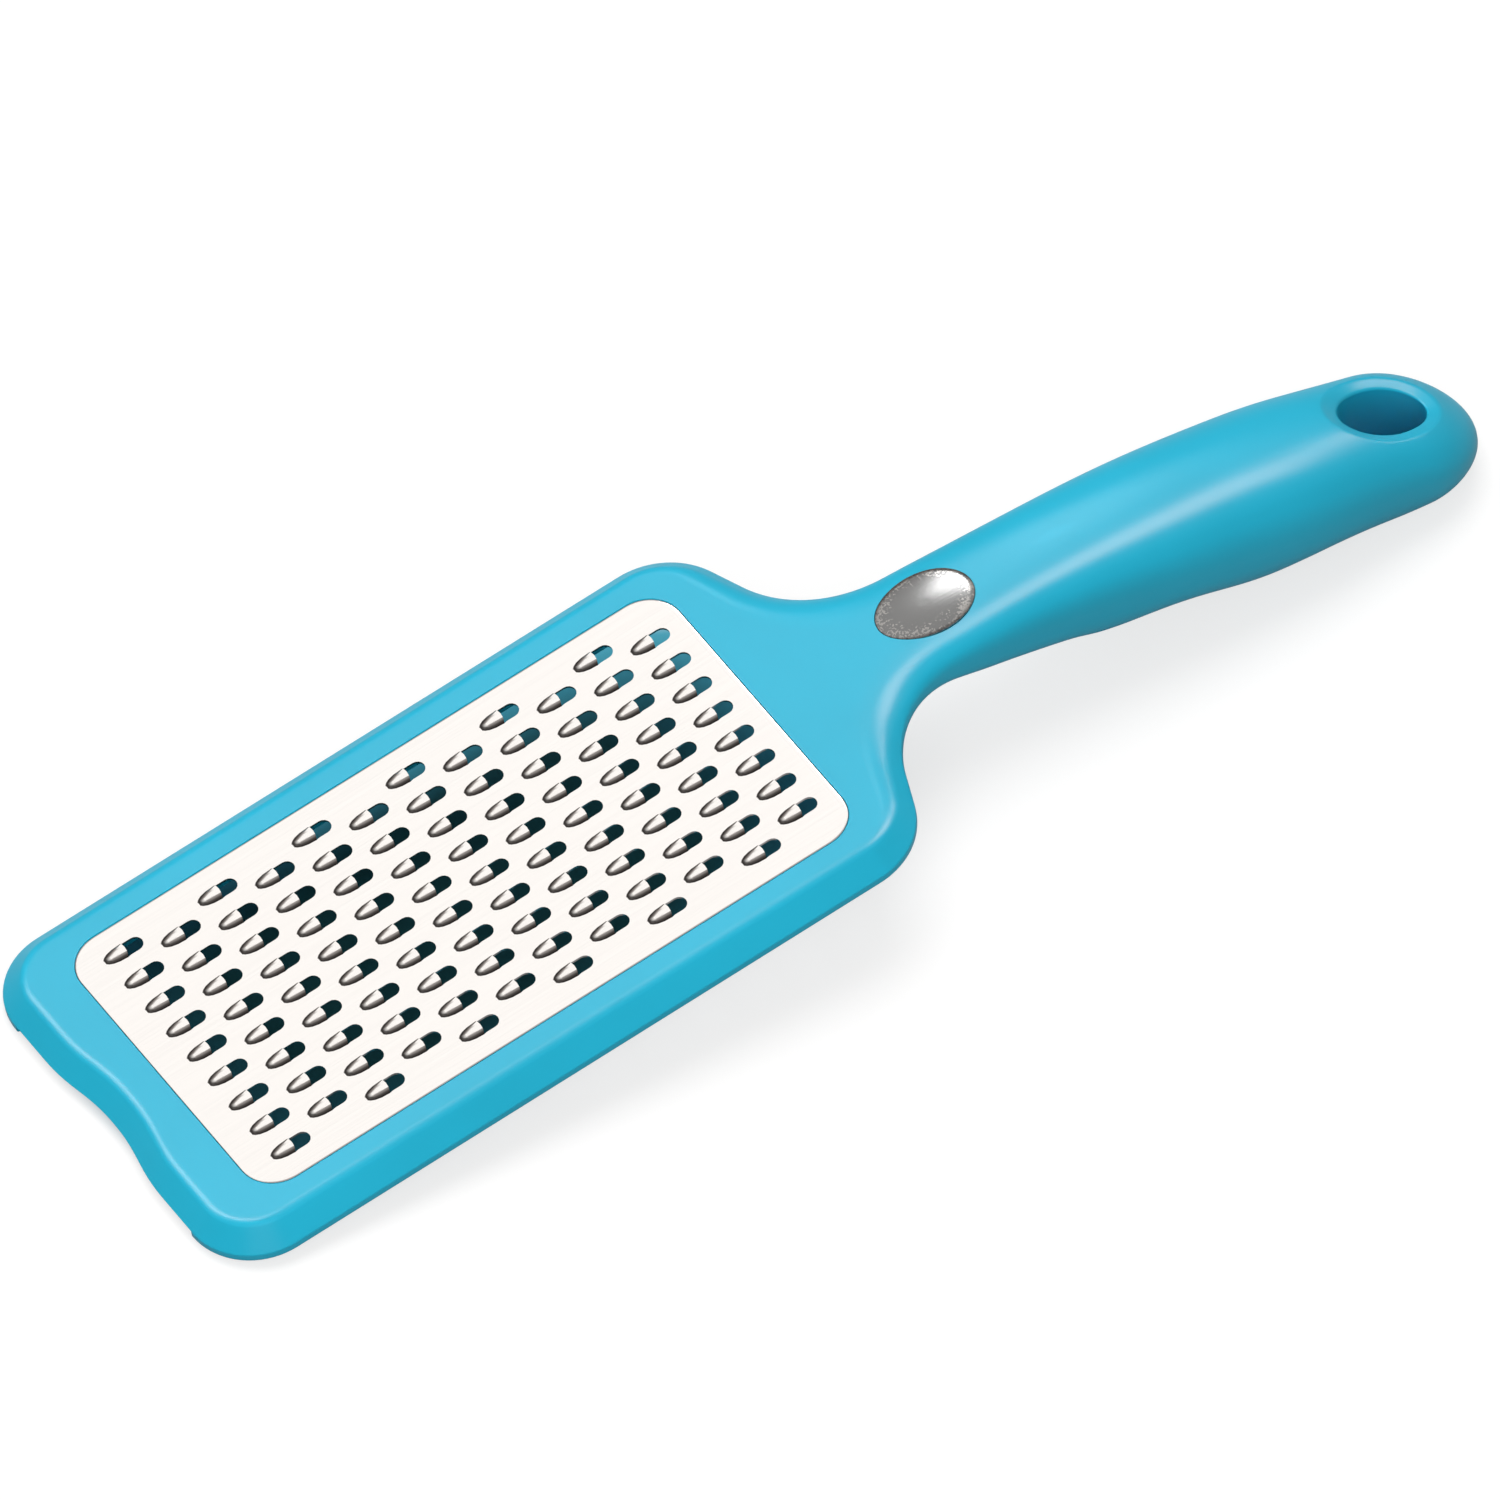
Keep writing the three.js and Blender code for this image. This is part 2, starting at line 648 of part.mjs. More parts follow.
// An arch across the tooth: share is its place between the edge, at 0, and the point, at 1
function hoodArch(x, share, halfWidth, height, foot, count) {
  const width = halfWidth * (1 - share ** HOOD_TAPER);
  const crown = height * (1 - share ** HOOD_SLOPE);
  return steps(count).map((t) => {
    const rise = t === 0 || t === 1 ? foot : crown * Math.sin(Math.PI * t);
    return vec3(x, width * Math.cos(Math.PI * t), rise);
  });
}

function hood() {
  return loft([1, 1 / 2, 0].map((share) => {
    return hoodArch(-share * HOOD_LENGTH, share, HOOD_HALF_WIDTH, HOOD_HEIGHT, 0, HOOD_STEPS);
  }), alongX);
}

function hoodHollow() {
  return loft([HOLLOW_SHARE, 0].map((share) => {
    const height = HOOD_HEIGHT - HOOD_WALL;
    return hoodArch(-share * HOOD_LENGTH, share, WINDOW_HALF_WIDTH, height, -SHEET, HOLLOW_STEPS);
  }), alongX);
}

function toothWindow() {
  const round = WINDOW_LENGTH - WINDOW_HALF_WIDTH;
  const shape = new THREE.Shape();
  shape.moveTo(0, WINDOW_HALF_WIDTH);
  shape.lineTo(0, -WINDOW_HALF_WIDTH);
  shape.absarc(round, 0, WINDOW_HALF_WIDTH, -Math.PI / 2, Math.PI / 2);
  const outline = shape.getPoints(WINDOW_STEPS);
  return loft([lift(outline, -2 * SHEET), lift(outline, 2 * SHEET)], fromAbove);
}

// Staggered columns: full ones of nine rows, and between them ones of eight, half a pitch aside
function toothPlaces() {
  const places = [];
  for (let column = 0; column < TOOTH_COLUMNS; column++) {
    const rows = TOOTH_ROWS - column % 2;
    const x = FIELD_SHIFT + (column - (TOOTH_COLUMNS - 1) / 2) * COLUMN_PITCH;
    for (let row = 0; row < rows; row++) {
      places.push(vec2(x, (row - (rows - 1) / 2) * ROW_PITCH));
    }
  }
  return places;
}

function gratingPlate() {
  const field = openingOutline(-CLEARANCE);
  const under = openingOutline(-CLEARANCE - SHEET);
  const flange = openingOutline(FLANGE_WIDTH);
  const sheet = loft([
    lift(under, -SHEET),
    lift(under, flangeUnder),
    lift(flange, flangeUnder),
    lift(flange, flangeTop),
    lift(field, flangeTop),
    lift(field, 0),
  ], fromAbove);
  const everywhere = (tooth) => {
    return toSolid(mergeGeometries(toothPlaces().map(({ x, y }) => tooth.clone().translate(x, y, 0))));
  };
  return toSolid(sheet)
    .add(everywhere(hood()))
    .subtract(everywhere(hoodHollow()))
    .subtract(everywhere(toothWindow()))
    .subtract(atStakes([
      [0, flangeUnder - SHEET],
      [STAKE_RADIUS + CLEARANCE, flangeUnder - SHEET],
      [STAKE_RADIUS + CLEARANCE, flangeTop + CLEARANCE / 2],
      [0, flangeTop + CLEARANCE / 2],
    ]));
}

// The scene graph

function piece(name, solid, color, roughness, metalness) {
  const material = new THREE.MeshStandardMaterial({ color, roughness, metalness });
  const mesh = new THREE.Mesh(toGeometry(solid), material);
  mesh.name = name;
  return mesh;
}

const body = piece('frame_body', frameBody(), TURQUOISE, GLOSS, 0);
const badge = placeBadge(piece('oval_badge', badgeSolid(), BADGE_METAL, SATIN, 1));
const paddle = new THREE.Group();
paddle.add(
  body,
  piece('handle_back_cover', handleBackCover(), TURQUOISE, GLOSS, 0),
  piece('grating_plate', gratingPlate(), STEEL, GLOSS, 1),
  piece('plate_retainer', plateRetainer(), TURQUOISE, SATIN, 0),
  badge,
);

// The angle at which the nose and the handle's end touch a table together
function restAngle(geometry) {
  const position = geometry.getAttribute('position');
  const lowest = (angle, side) => {
    let low = Infinity;
    for (let i = 0; i < position.count; i++) {
      if (side * position.getX(i) > 0) {
        low = Math.min(low, position.getX(i) * Math.sin(angle) + position.getZ(i) * Math.cos(angle));
      }
    }
    return low;
  };
  let flat = 0;
  let steep = Math.PI / 4;
  for (let i = 0; i < halvings; i++) {
    const angle = (flat + steep) / 2;
    if (lowest(angle, -1) > lowest(angle, 1)) flat = angle;
    else steep = angle;
  }
  return flat;
}

paddle.rotation.y = -restAngle(body.geometry);
const box = new THREE.Box3().setFromObject(paddle, true);
const middle = box.getCenter(vec3(0, 0, 0));
paddle.position.set(-middle.x, 0, -box.min.z);

const grater = new THREE.Group();
grater.add(paddle);

export default grater;
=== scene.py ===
# %% [markdown]
# # An angled hand grater
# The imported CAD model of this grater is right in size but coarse: its curves are facets and its teeth are
# folded from a few triangles. In this lesson each piece is drawn again with finer curves in the same
# place, given a finish, and lit like a studio shot.
#
# Nearly every shape starts as a flat grid that is bent into place, because a grid gives even faces, and a
# bent grid can be read as one sentence: for each column and row, say where the point goes.

# %% Load the frame
import bisect
import math

import bmesh
import bpy
from mathutils import Matrix, Vector
from mathutils.geometry import interpolate_bezier


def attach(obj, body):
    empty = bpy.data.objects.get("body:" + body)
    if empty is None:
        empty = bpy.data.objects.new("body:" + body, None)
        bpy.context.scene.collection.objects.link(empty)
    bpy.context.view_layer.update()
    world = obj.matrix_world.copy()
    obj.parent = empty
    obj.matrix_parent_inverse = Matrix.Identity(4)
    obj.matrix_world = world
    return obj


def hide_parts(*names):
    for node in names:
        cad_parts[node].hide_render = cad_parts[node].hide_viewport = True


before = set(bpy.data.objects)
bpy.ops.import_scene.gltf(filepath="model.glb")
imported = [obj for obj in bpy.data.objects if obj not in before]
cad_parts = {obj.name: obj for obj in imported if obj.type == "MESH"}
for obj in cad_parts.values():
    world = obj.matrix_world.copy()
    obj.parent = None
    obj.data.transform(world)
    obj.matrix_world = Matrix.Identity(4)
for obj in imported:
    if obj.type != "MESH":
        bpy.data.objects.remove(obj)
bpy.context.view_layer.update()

# %% [markdown]
# ## The plate's own frame
# The grater stands on its nose and the end of its handle, so the plate is tilted. Drawing is easier when
# the plate is level: X runs from the nose to the handle, Y across, Z along the plate's normal, the origin
# lies in the middle of the opening, and lengths are millimetres. The retaining ring tells where that frame
# is: its largest face gives the tilt, and its corners give the middle.

# %% Find the tilt
MILLIMETRE = 0.001
RING_TOP = -2.2
MOSTLY_UP = 0.5

ring_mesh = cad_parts["plate_retainer"].data
lying = [face for face in ring_mesh.polygons if abs(face.normal.z) > MOSTLY_UP]
normal = max(lying, key=lambda face: face.area).normal
tilt = math.atan(-normal.x / normal.z)
turn = Matrix.Rotation(-tilt, 4, "Y")
corners = [turn.inverted() @ vert.co for vert in ring_mesh.vertices]
along = [corner.x for corner in corners]
ring_middle = Vector(((min(along) + max(along)) / 2, 0, max(corner.z for corner in corners)))
place = turn @ Matrix.Translation(ring_middle) @ Matrix.Scale(MILLIMETRE, 4)
place = place @ Matrix.Translation((0, 0, -RING_TOP))
print("tilt, degrees:", round(math.degrees(tilt), 3))

# %% [markdown]
# ## The camera
# A very long lens from eight metres keeps the paddle's sides parallel, as in a catalogue picture. The eye
# is above the nose's near corner, so the handle runs away to the upper right.

# %% Set up the camera
AZIMUTH = math.radians(-33.206)
ELEVATION = math.radians(49.919)
ROLL = math.radians(-0.516)
AIM = Vector((-0.0148, -0.01127, 0.02958))
LENS = 1200
SENSOR = 36
VIEW_WIDTH = 0.241
DISTANCE = VIEW_WIDTH * LENS / SENSOR
CLIP_END = 100

back = Vector((
    math.sin(AZIMUTH) * math.cos(ELEVATION),
    -math.cos(AZIMUTH) * math.cos(ELEVATION),
    math.sin(ELEVATION),
))
facing = (-back).to_track_quat("-Z", "Y").to_matrix()
camera = bpy.data.objects.new("camera", bpy.data.cameras.new("camera"))
bpy.context.scene.collection.objects.link(camera)
camera.data.sensor_width = SENSOR
camera.data.lens = LENS
camera.data.clip_end = CLIP_END
camera.location = AIM + DISTANCE * back
camera.rotation_euler = (facing @ Matrix.Rotation(ROLL, 3, "Z")).to_euler()
bpy.context.scene.camera = camera
bpy.context.scene.view_settings.view_transform = "Standard"
print("camera at", [round(value, 3) for value in camera.location])

# %% [markdown]
# ## Node helpers
# Every material below is a small tree of nodes. One function adds a node and fills its sockets: a plain
# value is set on the socket, and an output of another node is linked to it. Another starts a material.

# %% Write the node helpers
def add_node(tree, kind, sockets=None, **settings):
    made = tree.nodes.new(kind)
    for name, value in settings.items():
        setattr(made, name, value)
    for name, value in (sockets or {}).items():
        if isinstance(name, int):
            socket = made.inputs[name]
        else:
            socket = next(put for put in made.inputs if put.name == name and put.enabled)
        if isinstance(value, bpy.types.NodeSocket):
            tree.links.new(value, socket)
        else:
            socket.default_value = value
    return made


def new_material(name):
    material = bpy.data.materials.new(name)
    material.use_nodes = True
    return material, material.node_tree, material.node_tree.nodes["Principled BSDF"]


print("node helpers:", add_node.__name__, new_material.__name__)

# %% [markdown]
# ## Short names for nodes
# Five kinds of node come back again and again: arithmetic, noise, a colour ramp, a soft fade between two
# limits, and a mix of two colours. Each gets a function that gives back the one output that is needed.

# %% Name the common nodes
def maths(tree, operation, *values):
    return add_node(tree, "ShaderNodeMath", dict(enumerate(values)), operation=operation).outputs[0]


def noise(tree, vector, scale, detail=2):
    sockets = {"Vector": vector, "Scale": scale, "Detail": detail}
    return add_node(tree, "ShaderNodeTexNoise", sockets).outputs["Fac"]


def ramp(tree, factor, *stops):
    made = add_node(tree, "ShaderNodeValToRGB", {"Fac": factor})
    elements = made.color_ramp.elements
    while len(elements) < len(stops):
        elements.new(1)
    for element, (position, colour) in zip(elements, stops):
        element.position = position
        element.color = (*colour, 1)
    return made.outputs["Color"]


def fade(tree, value, start, end):
    limits = {"Value": value, "From Min": start, "From Max": end}
    made = add_node(tree, "ShaderNodeMapRange", limits, interpolation_type="SMOOTHSTEP")
    return made.outputs["Result"]


def mix_colours(tree, share, first, second):
    sockets = {"Factor": share, "A": first, "B": second}
    return add_node(tree, "ShaderNodeMix", sockets, data_type="RGBA").outputs["Result"]


print("common nodes:", [helper.__name__ for helper in (maths, noise, ramp, fade, mix_colours)])

# %% [markdown]
# ## The table
# The grater lies on a plain pale table, and one face from the grid operator is enough for that. It lies a
# hair below zero, because the handle drawn here is rounder than the CAD's and reaches a little lower.

# %% Lay the table
TABLE_HALF = 1.6
TABLE_Z = -0.0002


def as_mesh(name, bm):
    mesh = bpy.data.meshes.new(name)
    bm.to_mesh(mesh)
    bm.free()
    return mesh


def as_object(name, bm):
    made = bpy.data.objects.new(name, as_mesh(name, bm))
    bpy.context.scene.collection.objects.link(made)
    return made


table = bmesh.new()
lowered = Matrix.Translation((0, 0, TABLE_Z))
bmesh.ops.create_grid(table, x_segments=1, y_segments=1, size=TABLE_HALF, matrix=lowered)
floor = as_object("table", table)
print("table, m:", 2 * TABLE_HALF)

# %% [markdown]
# ## The table's finish
# The table reflects about a third of the light, so that it doesn't flood the undersides. For the camera it
# also glows, which lifts it to white and leaves a soft shadow. Under the plate a dark, teal-tinted patch is
# painted into the table's colour as painted shade, paling to turquoise at its rim, and that painted shade
# shows through the windows of the teeth. The patch is a rectangle with round corners, which is what the
# fourth powers of the distances give, and it is turned a little, so that the plate hides its border from
# the camera.

# %% Finish the table
UNDER_PLATE = (-0.057, 0.008, 0)
UNDER_TURN = (0, 0, 0.067)
UNDER_REACH = (0.075, 0.036, 1)
PATCH_FADE = 0.9
PAPER = [(0, (0.34, 0.34, 0.34)), (1, (0.37, 0.37, 0.37))]
PAINTED_SHADE = [(0.55, (0.02, 0.11, 0.13)), (0.8, (0.05, 0.28, 0.38)), (0.95, (0.1, 0.48, 0.63))]
GLOW = 0.68
MIRRORED_GLOW = 0.05
WHITE = (1, 1, 1, 1)

material, tree, surface = new_material("pale_table")
coordinates = add_node(tree, "ShaderNodeTexCoord").outputs["Object"]
paper = ramp(tree, noise(tree, coordinates, scale=3), *PAPER)
shade_patch = {"Vector": coordinates, "Location": UNDER_PLATE, "Rotation": UNDER_TURN, "Scale": UNDER_REACH}
across = add_node(tree, "ShaderNodeMapping", shade_patch, vector_type="TEXTURE").outputs["Vector"]
squared = add_node(tree, "ShaderNodeVectorMath", {0: across, 1: across}, operation="MULTIPLY").outputs[0]
fourth = add_node(tree, "ShaderNodeVectorMath", {0: squared, 1: squared}, operation="DOT_PRODUCT")
farthest = maths(tree, "POWER", fourth.outputs["Value"], 1 / 4)
open_air = fade(tree, farthest, PATCH_FADE, 1)
# painted shade: the dark teal patch under the plate is mixed into the table's colour here, and the glow is
# left off over it
tinted = mix_colours(tree, open_air, ramp(tree, farthest, *PAINTED_SHADE), paper)
rays = add_node(tree, "ShaderNodeLightPath").outputs
seen = maths(tree, "MAXIMUM", rays["Is Camera Ray"], rays["Is Transmission Ray"])
mirrored = maths(tree, "MULTIPLY", rays["Is Glossy Ray"], MIRRORED_GLOW)
glow = maths(tree, "MULTIPLY_ADD", seen, GLOW, mirrored)
tree.links.new(tinted, surface.inputs["Base Color"])
tree.links.new(maths(tree, "MULTIPLY", glow, open_air), surface.inputs["Emission Strength"])
surface.inputs["Emission Color"].default_value = WHITE
surface.inputs["Roughness"].default_value = 0.9
surface.inputs["Specular IOR Level"].default_value = 0.1
floor.data.materials.append(material)
print("table's nodes:", len(tree.nodes))

# %% [markdown]
# ## The lamps
# Two large soft boxes light the body. They are kept out of every mirror image, so they draw no window on
# the gloss. Three narrower ones do the opposite: only their mirror image shows, as the thin line on the
# nose's edge, the soft streak along the grip and the gleam in the mouth of the hang hole. They are warm,
# because a warm gleam on turquoise looks nearly white. A small one draws the glint on the badge.

# %% Hang the lamps
WARM = (1, 0.58, 0.46)


def soft_box(name, towards, distance, width, height, power):
    lamp = bpy.data.lights.new(name, "AREA")
    lamp.shape = "RECTANGLE"
    lamp.size = width
    lamp.size_y = height
    lamp.energy = power
    box = bpy.data.objects.new(name, lamp)
    direction = Vector(towards).normalized()
    box.location = direction * distance
    box.rotation_euler = direction.to_track_quat("Z", "Y").to_matrix().to_euler()
    bpy.context.scene.collection.objects.link(box)
    return box


body_lights = [
    soft_box("key_box", (0.1, 0.3, 0.95), 1.3, 0.9, 0.9, 7.4),
    soft_box("near_fill", (-0.46, -0.64, 0.6), 1.3, 0.8, 0.8, 6.8),
]
gloss_lights = [
    soft_box("nose_box", (-0.36, 0.4, 0.84), 1.3, 0.42, 1.0, 17),
    soft_box("handle_strip", (0.477, -0.04, 0.878), 1.2, 0.36, 0.71, 13),
    soft_box("hole_box", (0.8, 0.15, 0.58), 1.2, 0.22, 0.22, 2.5),
]
badge_light = soft_box("badge_box", (0.4, 0.56, 0.73), 1.2, 0.24, 0.24, 1.3)
for box in body_lights:
    box.visible_glossy = False
for box in gloss_lights + [badge_light]:
    box.visible_diffuse = False
for box in gloss_lights:
    box.data.color = WARM
print("lamps:", [box.name for box in body_lights + gloss_lights + [badge_light]])

# %% [markdown]
# ## The room
# The far side of the room is bright, and the plate mirrors it: that is why the steel looks white. The near
# side stays dim, and so do the left and whatever lies low, so both flanks of each hood turn grey and the
# tooth reads as a ridge. The camera itself sees plain white.

# %% Paint the room
BRIGHT = (1.08, 1.07, 1.05, 1)
DIM_LOW = (0.29, 0.262, 0.245, 1)
DIM_HIGH = (0.4, 0.375, 0.36, 1)

world = bpy.data.worlds.new("studio")
bpy.context.scene.world = world
world.use_nodes = True
tree = world.node_tree
background = tree.nodes["Background"]
direction = add_node(tree, "ShaderNodeTexCoord").outputs["Generated"]
parts = add_node(tree, "ShaderNodeSeparateXYZ", {"Vector": direction}).outputs
far_side = fade(tree, parts["Y"], -0.05, 0.25)
not_left = fade(tree, parts["X"], -0.75, -0.4)
not_low = fade(tree, parts["Z"], 0.45, 0.7)
bright = maths(tree, "MULTIPLY", maths(tree, "MULTIPLY", far_side, not_left), not_low)
dim = mix_colours(tree, fade(tree, parts["Z"], 0.4, 0.9), DIM_LOW, DIM_HIGH)
room = mix_colours(tree, bright, dim, BRIGHT)
seen = add_node(tree, "ShaderNodeLightPath").outputs["Is Camera Ray"]
tree.links.new(mix_colours(tree, seen, room, WHITE), background.inputs["Color"])
background.inputs["Strength"].default_value = 1
print("room's nodes:", len(tree.nodes))

# %% [markdown]
# ## Curve helpers
# A Bezier curve with two handles is enough for every long line of this grater. It is sampled once, and the
# function that comes back gives its height at any place along X. An ease is such a curve that starts and
# ends level, and a smooth step fades one thing into another.

# %% Write the curve helpers
CURVE_STEPS = 240
ARM_SHARE = 0.45


def curve(*handles):
    points = interpolate_bezier(*[Vector(handle) for handle in handles], CURVE_STEPS)
    stations = [point.x for point in points]

    def ordinate(x):
        i = min(max(bisect.bisect(stations, x), 1), len(points) - 1)
        start, end = points[i - 1], points[i]
        return start.y + (end.y - start.y) * (x - start.x) / (end.x - start.x)

    return ordinate


def ease(x0, y0, x1, y1):
    arm = ARM_SHARE * (x1 - x0)
    return curve((x0, y0), (x0 + arm, y0), (x1 - arm, y1), (x1, y1))


def smoothstep(x, low, high):
    share = min(max((x - low) / (high - low), 0), 1)
    return share * share * (3 - 2 * share)


print("half way along an ease from 0 to 1:", round(ease(0, 0, 1, 1)(0.5), 3))

# %% [markdown]
# ## The handle from above
# The frame and the handle are one moulding. Seen from above the handle leaves the frame in a narrow neck,
# fills the hand with its belly, and narrows again towards a round end. Two eases give its half width.

# %% Draw the handle's width
NECK_X = 88.8726
NECK_HALF_WIDTH = 10.8
BELLY_X = 152.1726
BELLY_HALF_WIDTH = 13.6
TAIL_X = 177.5726
TAIL_HALF_WIDTH = 12.4
TAIL_ROUND = 14.2
END_X = TAIL_X + TAIL_ROUND

neck_to_belly = ease(NECK_X, NECK_HALF_WIDTH, BELLY_X, BELLY_HALF_WIDTH)
belly_to_tail = ease(BELLY_X, BELLY_HALF_WIDTH, TAIL_X, TAIL_HALF_WIDTH)


def half_width(x):
    return neck_to_belly(x) if x < BELLY_X else belly_to_tail(x)


print("handle width at the belly, mm:", round(2 * half_width(BELLY_X), 2))

# %% [markdown]
# ## The handle from the side
# Seen from the side the handle bends down from the plate. Its top and its underside are one curve each,
# and the underside swells between the fingers in a wave that starts behind the neck.

# %% Draw the handle's bend
FRAME_DEPTH = 5.75
BEND_X = NECK_X - 17
TOP_ARM_START = 36
TOP_ARM_END = 28
TOP_ARM_FALL = 7.2
TOP_FALL = 30.9
UNDERSIDE_X = NECK_X - 20.5
UNDER_ARM_START = 41
UNDER_ARM_START_FALL = 9.4
UNDER_ARM_END = 46.3
UNDER_ARM_END_FALL = 34.8
UNDER_FALL = 37.6
FINGERS_FROM_NECK = 19.3
FINGER_LEAD = 7.5
FINGER_SWELL = 0.85
FINGER_PITCH = 30

top_curve = curve(
    (BEND_X, 0),
    (BEND_X + TOP_ARM_START, 0),
    (END_X - TOP_ARM_END, -TOP_ARM_FALL),
    (END_X, -TOP_FALL),
)
under_curve = curve(
    (UNDERSIDE_X, -FRAME_DEPTH),
    (UNDERSIDE_X + UNDER_ARM_START, -FRAME_DEPTH - UNDER_ARM_START_FALL),
    (END_X - UNDER_ARM_END, -FRAME_DEPTH - UNDER_ARM_END_FALL),
    (END_X, -FRAME_DEPTH - UNDER_FALL),
)


def top_line(x):
    return top_curve(x) if x > BEND_X else 0


def straight_underside(x):
    return under_curve(x) if x > UNDERSIDE_X else -FRAME_DEPTH


def mid_line(x):
    return (top_line(x) + straight_underside(x)) / 2


def underside(x):
    run = x - NECK_X - FINGERS_FROM_NECK
    wave = math.sin(2 * math.pi * run / FINGER_PITCH)
    return straight_underside(x) - smoothstep(run, 0, FINGER_LEAD) * FINGER_SWELL * wave


print("handle depth at the belly, mm:", round(top_line(BELLY_X) - underside(BELLY_X), 2))

# %% [markdown]
# ## The outline in plan
# Half of the outline, from the middle of the nose round to the handle's end, is a chain of arcs and lines:
# the scalloped nose, its corner, the straight side, the shoulder, the neck, the handle and its round end.

# %% Draw the outline
NOSE_X = -70.25
NOSE_CORNER = 12.2
SIDE_Y = 38.15
SHOULDER = Vector((55.35, 24.65))
SHOULDER_RADIUS = 13.5
SHOULDER_TURN = math.radians(69)
NECK_RADIUS = 20
SCALLOP_DEPTH = 1.85
SCALLOP_HALF_WIDTH = 17.5
SCALLOP_STEPS = 19


def shares(count):
    return [i / count for i in range(count + 1)]


def arc(centre, radius_x, radius_y, start, end, count):
    angles = [start + (end - start) * share for share in shares(count)]
    return [centre + Vector((radius_x * math.cos(a), radius_y * math.sin(a))) for a in angles]


def straight(start, end, count):
    return [start.lerp(end, share) for share in shares(count)]


quarter = math.pi / 2
bow = ARM_SHARE * SCALLOP_HALF_WIDTH
scallop = interpolate_bezier(
    Vector((NOSE_X + SCALLOP_DEPTH, 0)),
    Vector((NOSE_X + SCALLOP_DEPTH, bow)),
    Vector((NOSE_X, SCALLOP_HALF_WIDTH - bow)),
    Vector((NOSE_X, SCALLOP_HALF_WIDTH)),
    SCALLOP_STEPS,
)
corner_middle = Vector((NOSE_X + NOSE_CORNER, SIDE_Y - NOSE_CORNER))
corner = arc(corner_middle, NOSE_CORNER, NOSE_CORNER, 2 * quarter, quarter, count=18)
shoulder_end = quarter - SHOULDER_TURN
shoulder = arc(SHOULDER, SHOULDER_RADIUS, SHOULDER_RADIUS, quarter, shoulder_end, count=18)
neck_middle = Vector((NECK_X, NECK_HALF_WIDTH + NECK_RADIUS))
neck_start = 3 * quarter - SHOULDER_TURN
neck = arc(neck_middle, NECK_RADIUS, NECK_RADIUS, neck_start, 3 * quarter, count=22)
stations = [NECK_X + (TAIL_X - NECK_X) * share for share in shares(72)]
handle = [Vector((x, half_width(x))) for x in stations]
tail = arc(Vector((TAIL_X, 0)), TAIL_ROUND, TAIL_HALF_WIDTH, quarter, 0, count=26)
nose = straight(scallop[-1], corner[0], count=4)
side = straight(corner[-1], shoulder[0], count=12)
slant = straight(shoulder[-1], neck[0], count=6)

outline = []
for run in (scallop, nose, corner, side, shoulder, slant, neck, handle, tail):
    outline += run[1:] if outline else run
print("points along half the outline:", len(outline))

# %% [markdown]
# ## Which way is out
# Each point of the outline keeps the direction that faces outwards there, because the rail's section is
# drawn inwards from it. It is square to the mean of the two edges that meet at the point. On the middle
# plane it is given directly, so that the two halves meet without a crease.

# %% Find the outward directions
def outward(i):
    before = outline[max(i - 1, 0)]
    after = outline[min(i + 1, len(outline) - 1)]
    tangent = (outline[i] - before).normalized() + (after - outline[i]).normalized()
    tangent.normalize()
    return Vector((-tangent.y, tangent.x))


outward_normals = [outward(i) for i in range(len(outline))]
outward_normals[0] = Vector((-1, 0))
outward_normals[-1] = Vector((1, 0))
print("directions:", len(outward_normals))

# %% [markdown]
# ## The section of the rail and the handle
# Round the plate the section is a rail: a flat underside, a short wall, a 45 degree chamfer and a flat
# top, with the corners rounded as a mould leaves them. In the handle it is a full, slightly square oval.
# Both are given as the same number of levels from below to above, so that one can fade into the other at
# the neck. On the way there the rail's edges turn soft first.

# %% Draw the section
CHAMFER_WIDTH = 3.75
CHAMFER_HEIGHT = 4
RAIL_UNDER_WIDTH = 7.5
RAIL_TOP_END = 7.95
CRISP_ROUNDS = (0.7, 0.5, 2.2)
SOFT_ROUNDS = (0.7, 1.6, 8)
section_corners = [
    (RAIL_UNDER_WIDTH, -FRAME_DEPTH),
    (0, -FRAME_DEPTH),
    (0, -CHAMFER_HEIGHT),
    (CHAMFER_WIDTH, 0),
    (RAIL_TOP_END, 0),
]
side_steps = [11, 2, 6, 7]


def turn_corner(enter, tip, leave, pull, count):
    return interpolate_bezier(enter, enter.lerp(tip, pull), leave.lerp(tip, pull), leave, count)


def rounded_section(corner_rounds):
    points = [Vector(corner) for corner in section_corners]
    section = []
    start = points[0]
    for i, radius in enumerate(corner_rounds):
        here = points[i + 1]
        before = (points[i] - here).normalized()
        after = (points[i + 2] - here).normalized()
        trim = radius / math.tan(before.angle(after) / 2)
        enter = here + trim * before
        leave = here + trim * after
        section += straight(start, enter, side_steps[i])[:-1]
        section += turn_corner(enter, here, leave, pull=0.55, count=6)[:-1]
        start = leave
    return section + straight(start, points[-1], side_steps[-1])


section = rounded_section(CRISP_ROUNDS)
soft_section = rounded_section(SOFT_ROUNDS)
print("levels of the section:", len(section), len(soft_section))

# %% [markdown]
# ## Bending a grid
# A grid of faces comes from one operator. Moving each of its points to where its column and row belong
# turns it into a rail, a tube or a dome, and merging doubles closes the seam where a ring meets itself.
# Ends that stay open are filled, and the normals are then made to face outwards. A value can be left on
# each point as well, for a material to read.

# %% Write the grid helpers
SEAM = 1e-4


def bent_grid(columns, rows, where, attribute=None, amount=None):
    bm = bmesh.new()
    bmesh.ops.create_grid(bm, x_segments=columns, y_segments=rows, size=0.5)
    layer = bm.verts.layers.float.new(attribute) if attribute else None
    for vert in bm.verts:
        column = round((vert.co.x + 0.5) * columns)
        row = round((vert.co.y + 0.5) * rows)
        vert.co = where(column, row)
        if attribute:
            vert[layer] = amount(column, row)
    bmesh.ops.remove_doubles(bm, verts=bm.verts, dist=SEAM)
    return bm


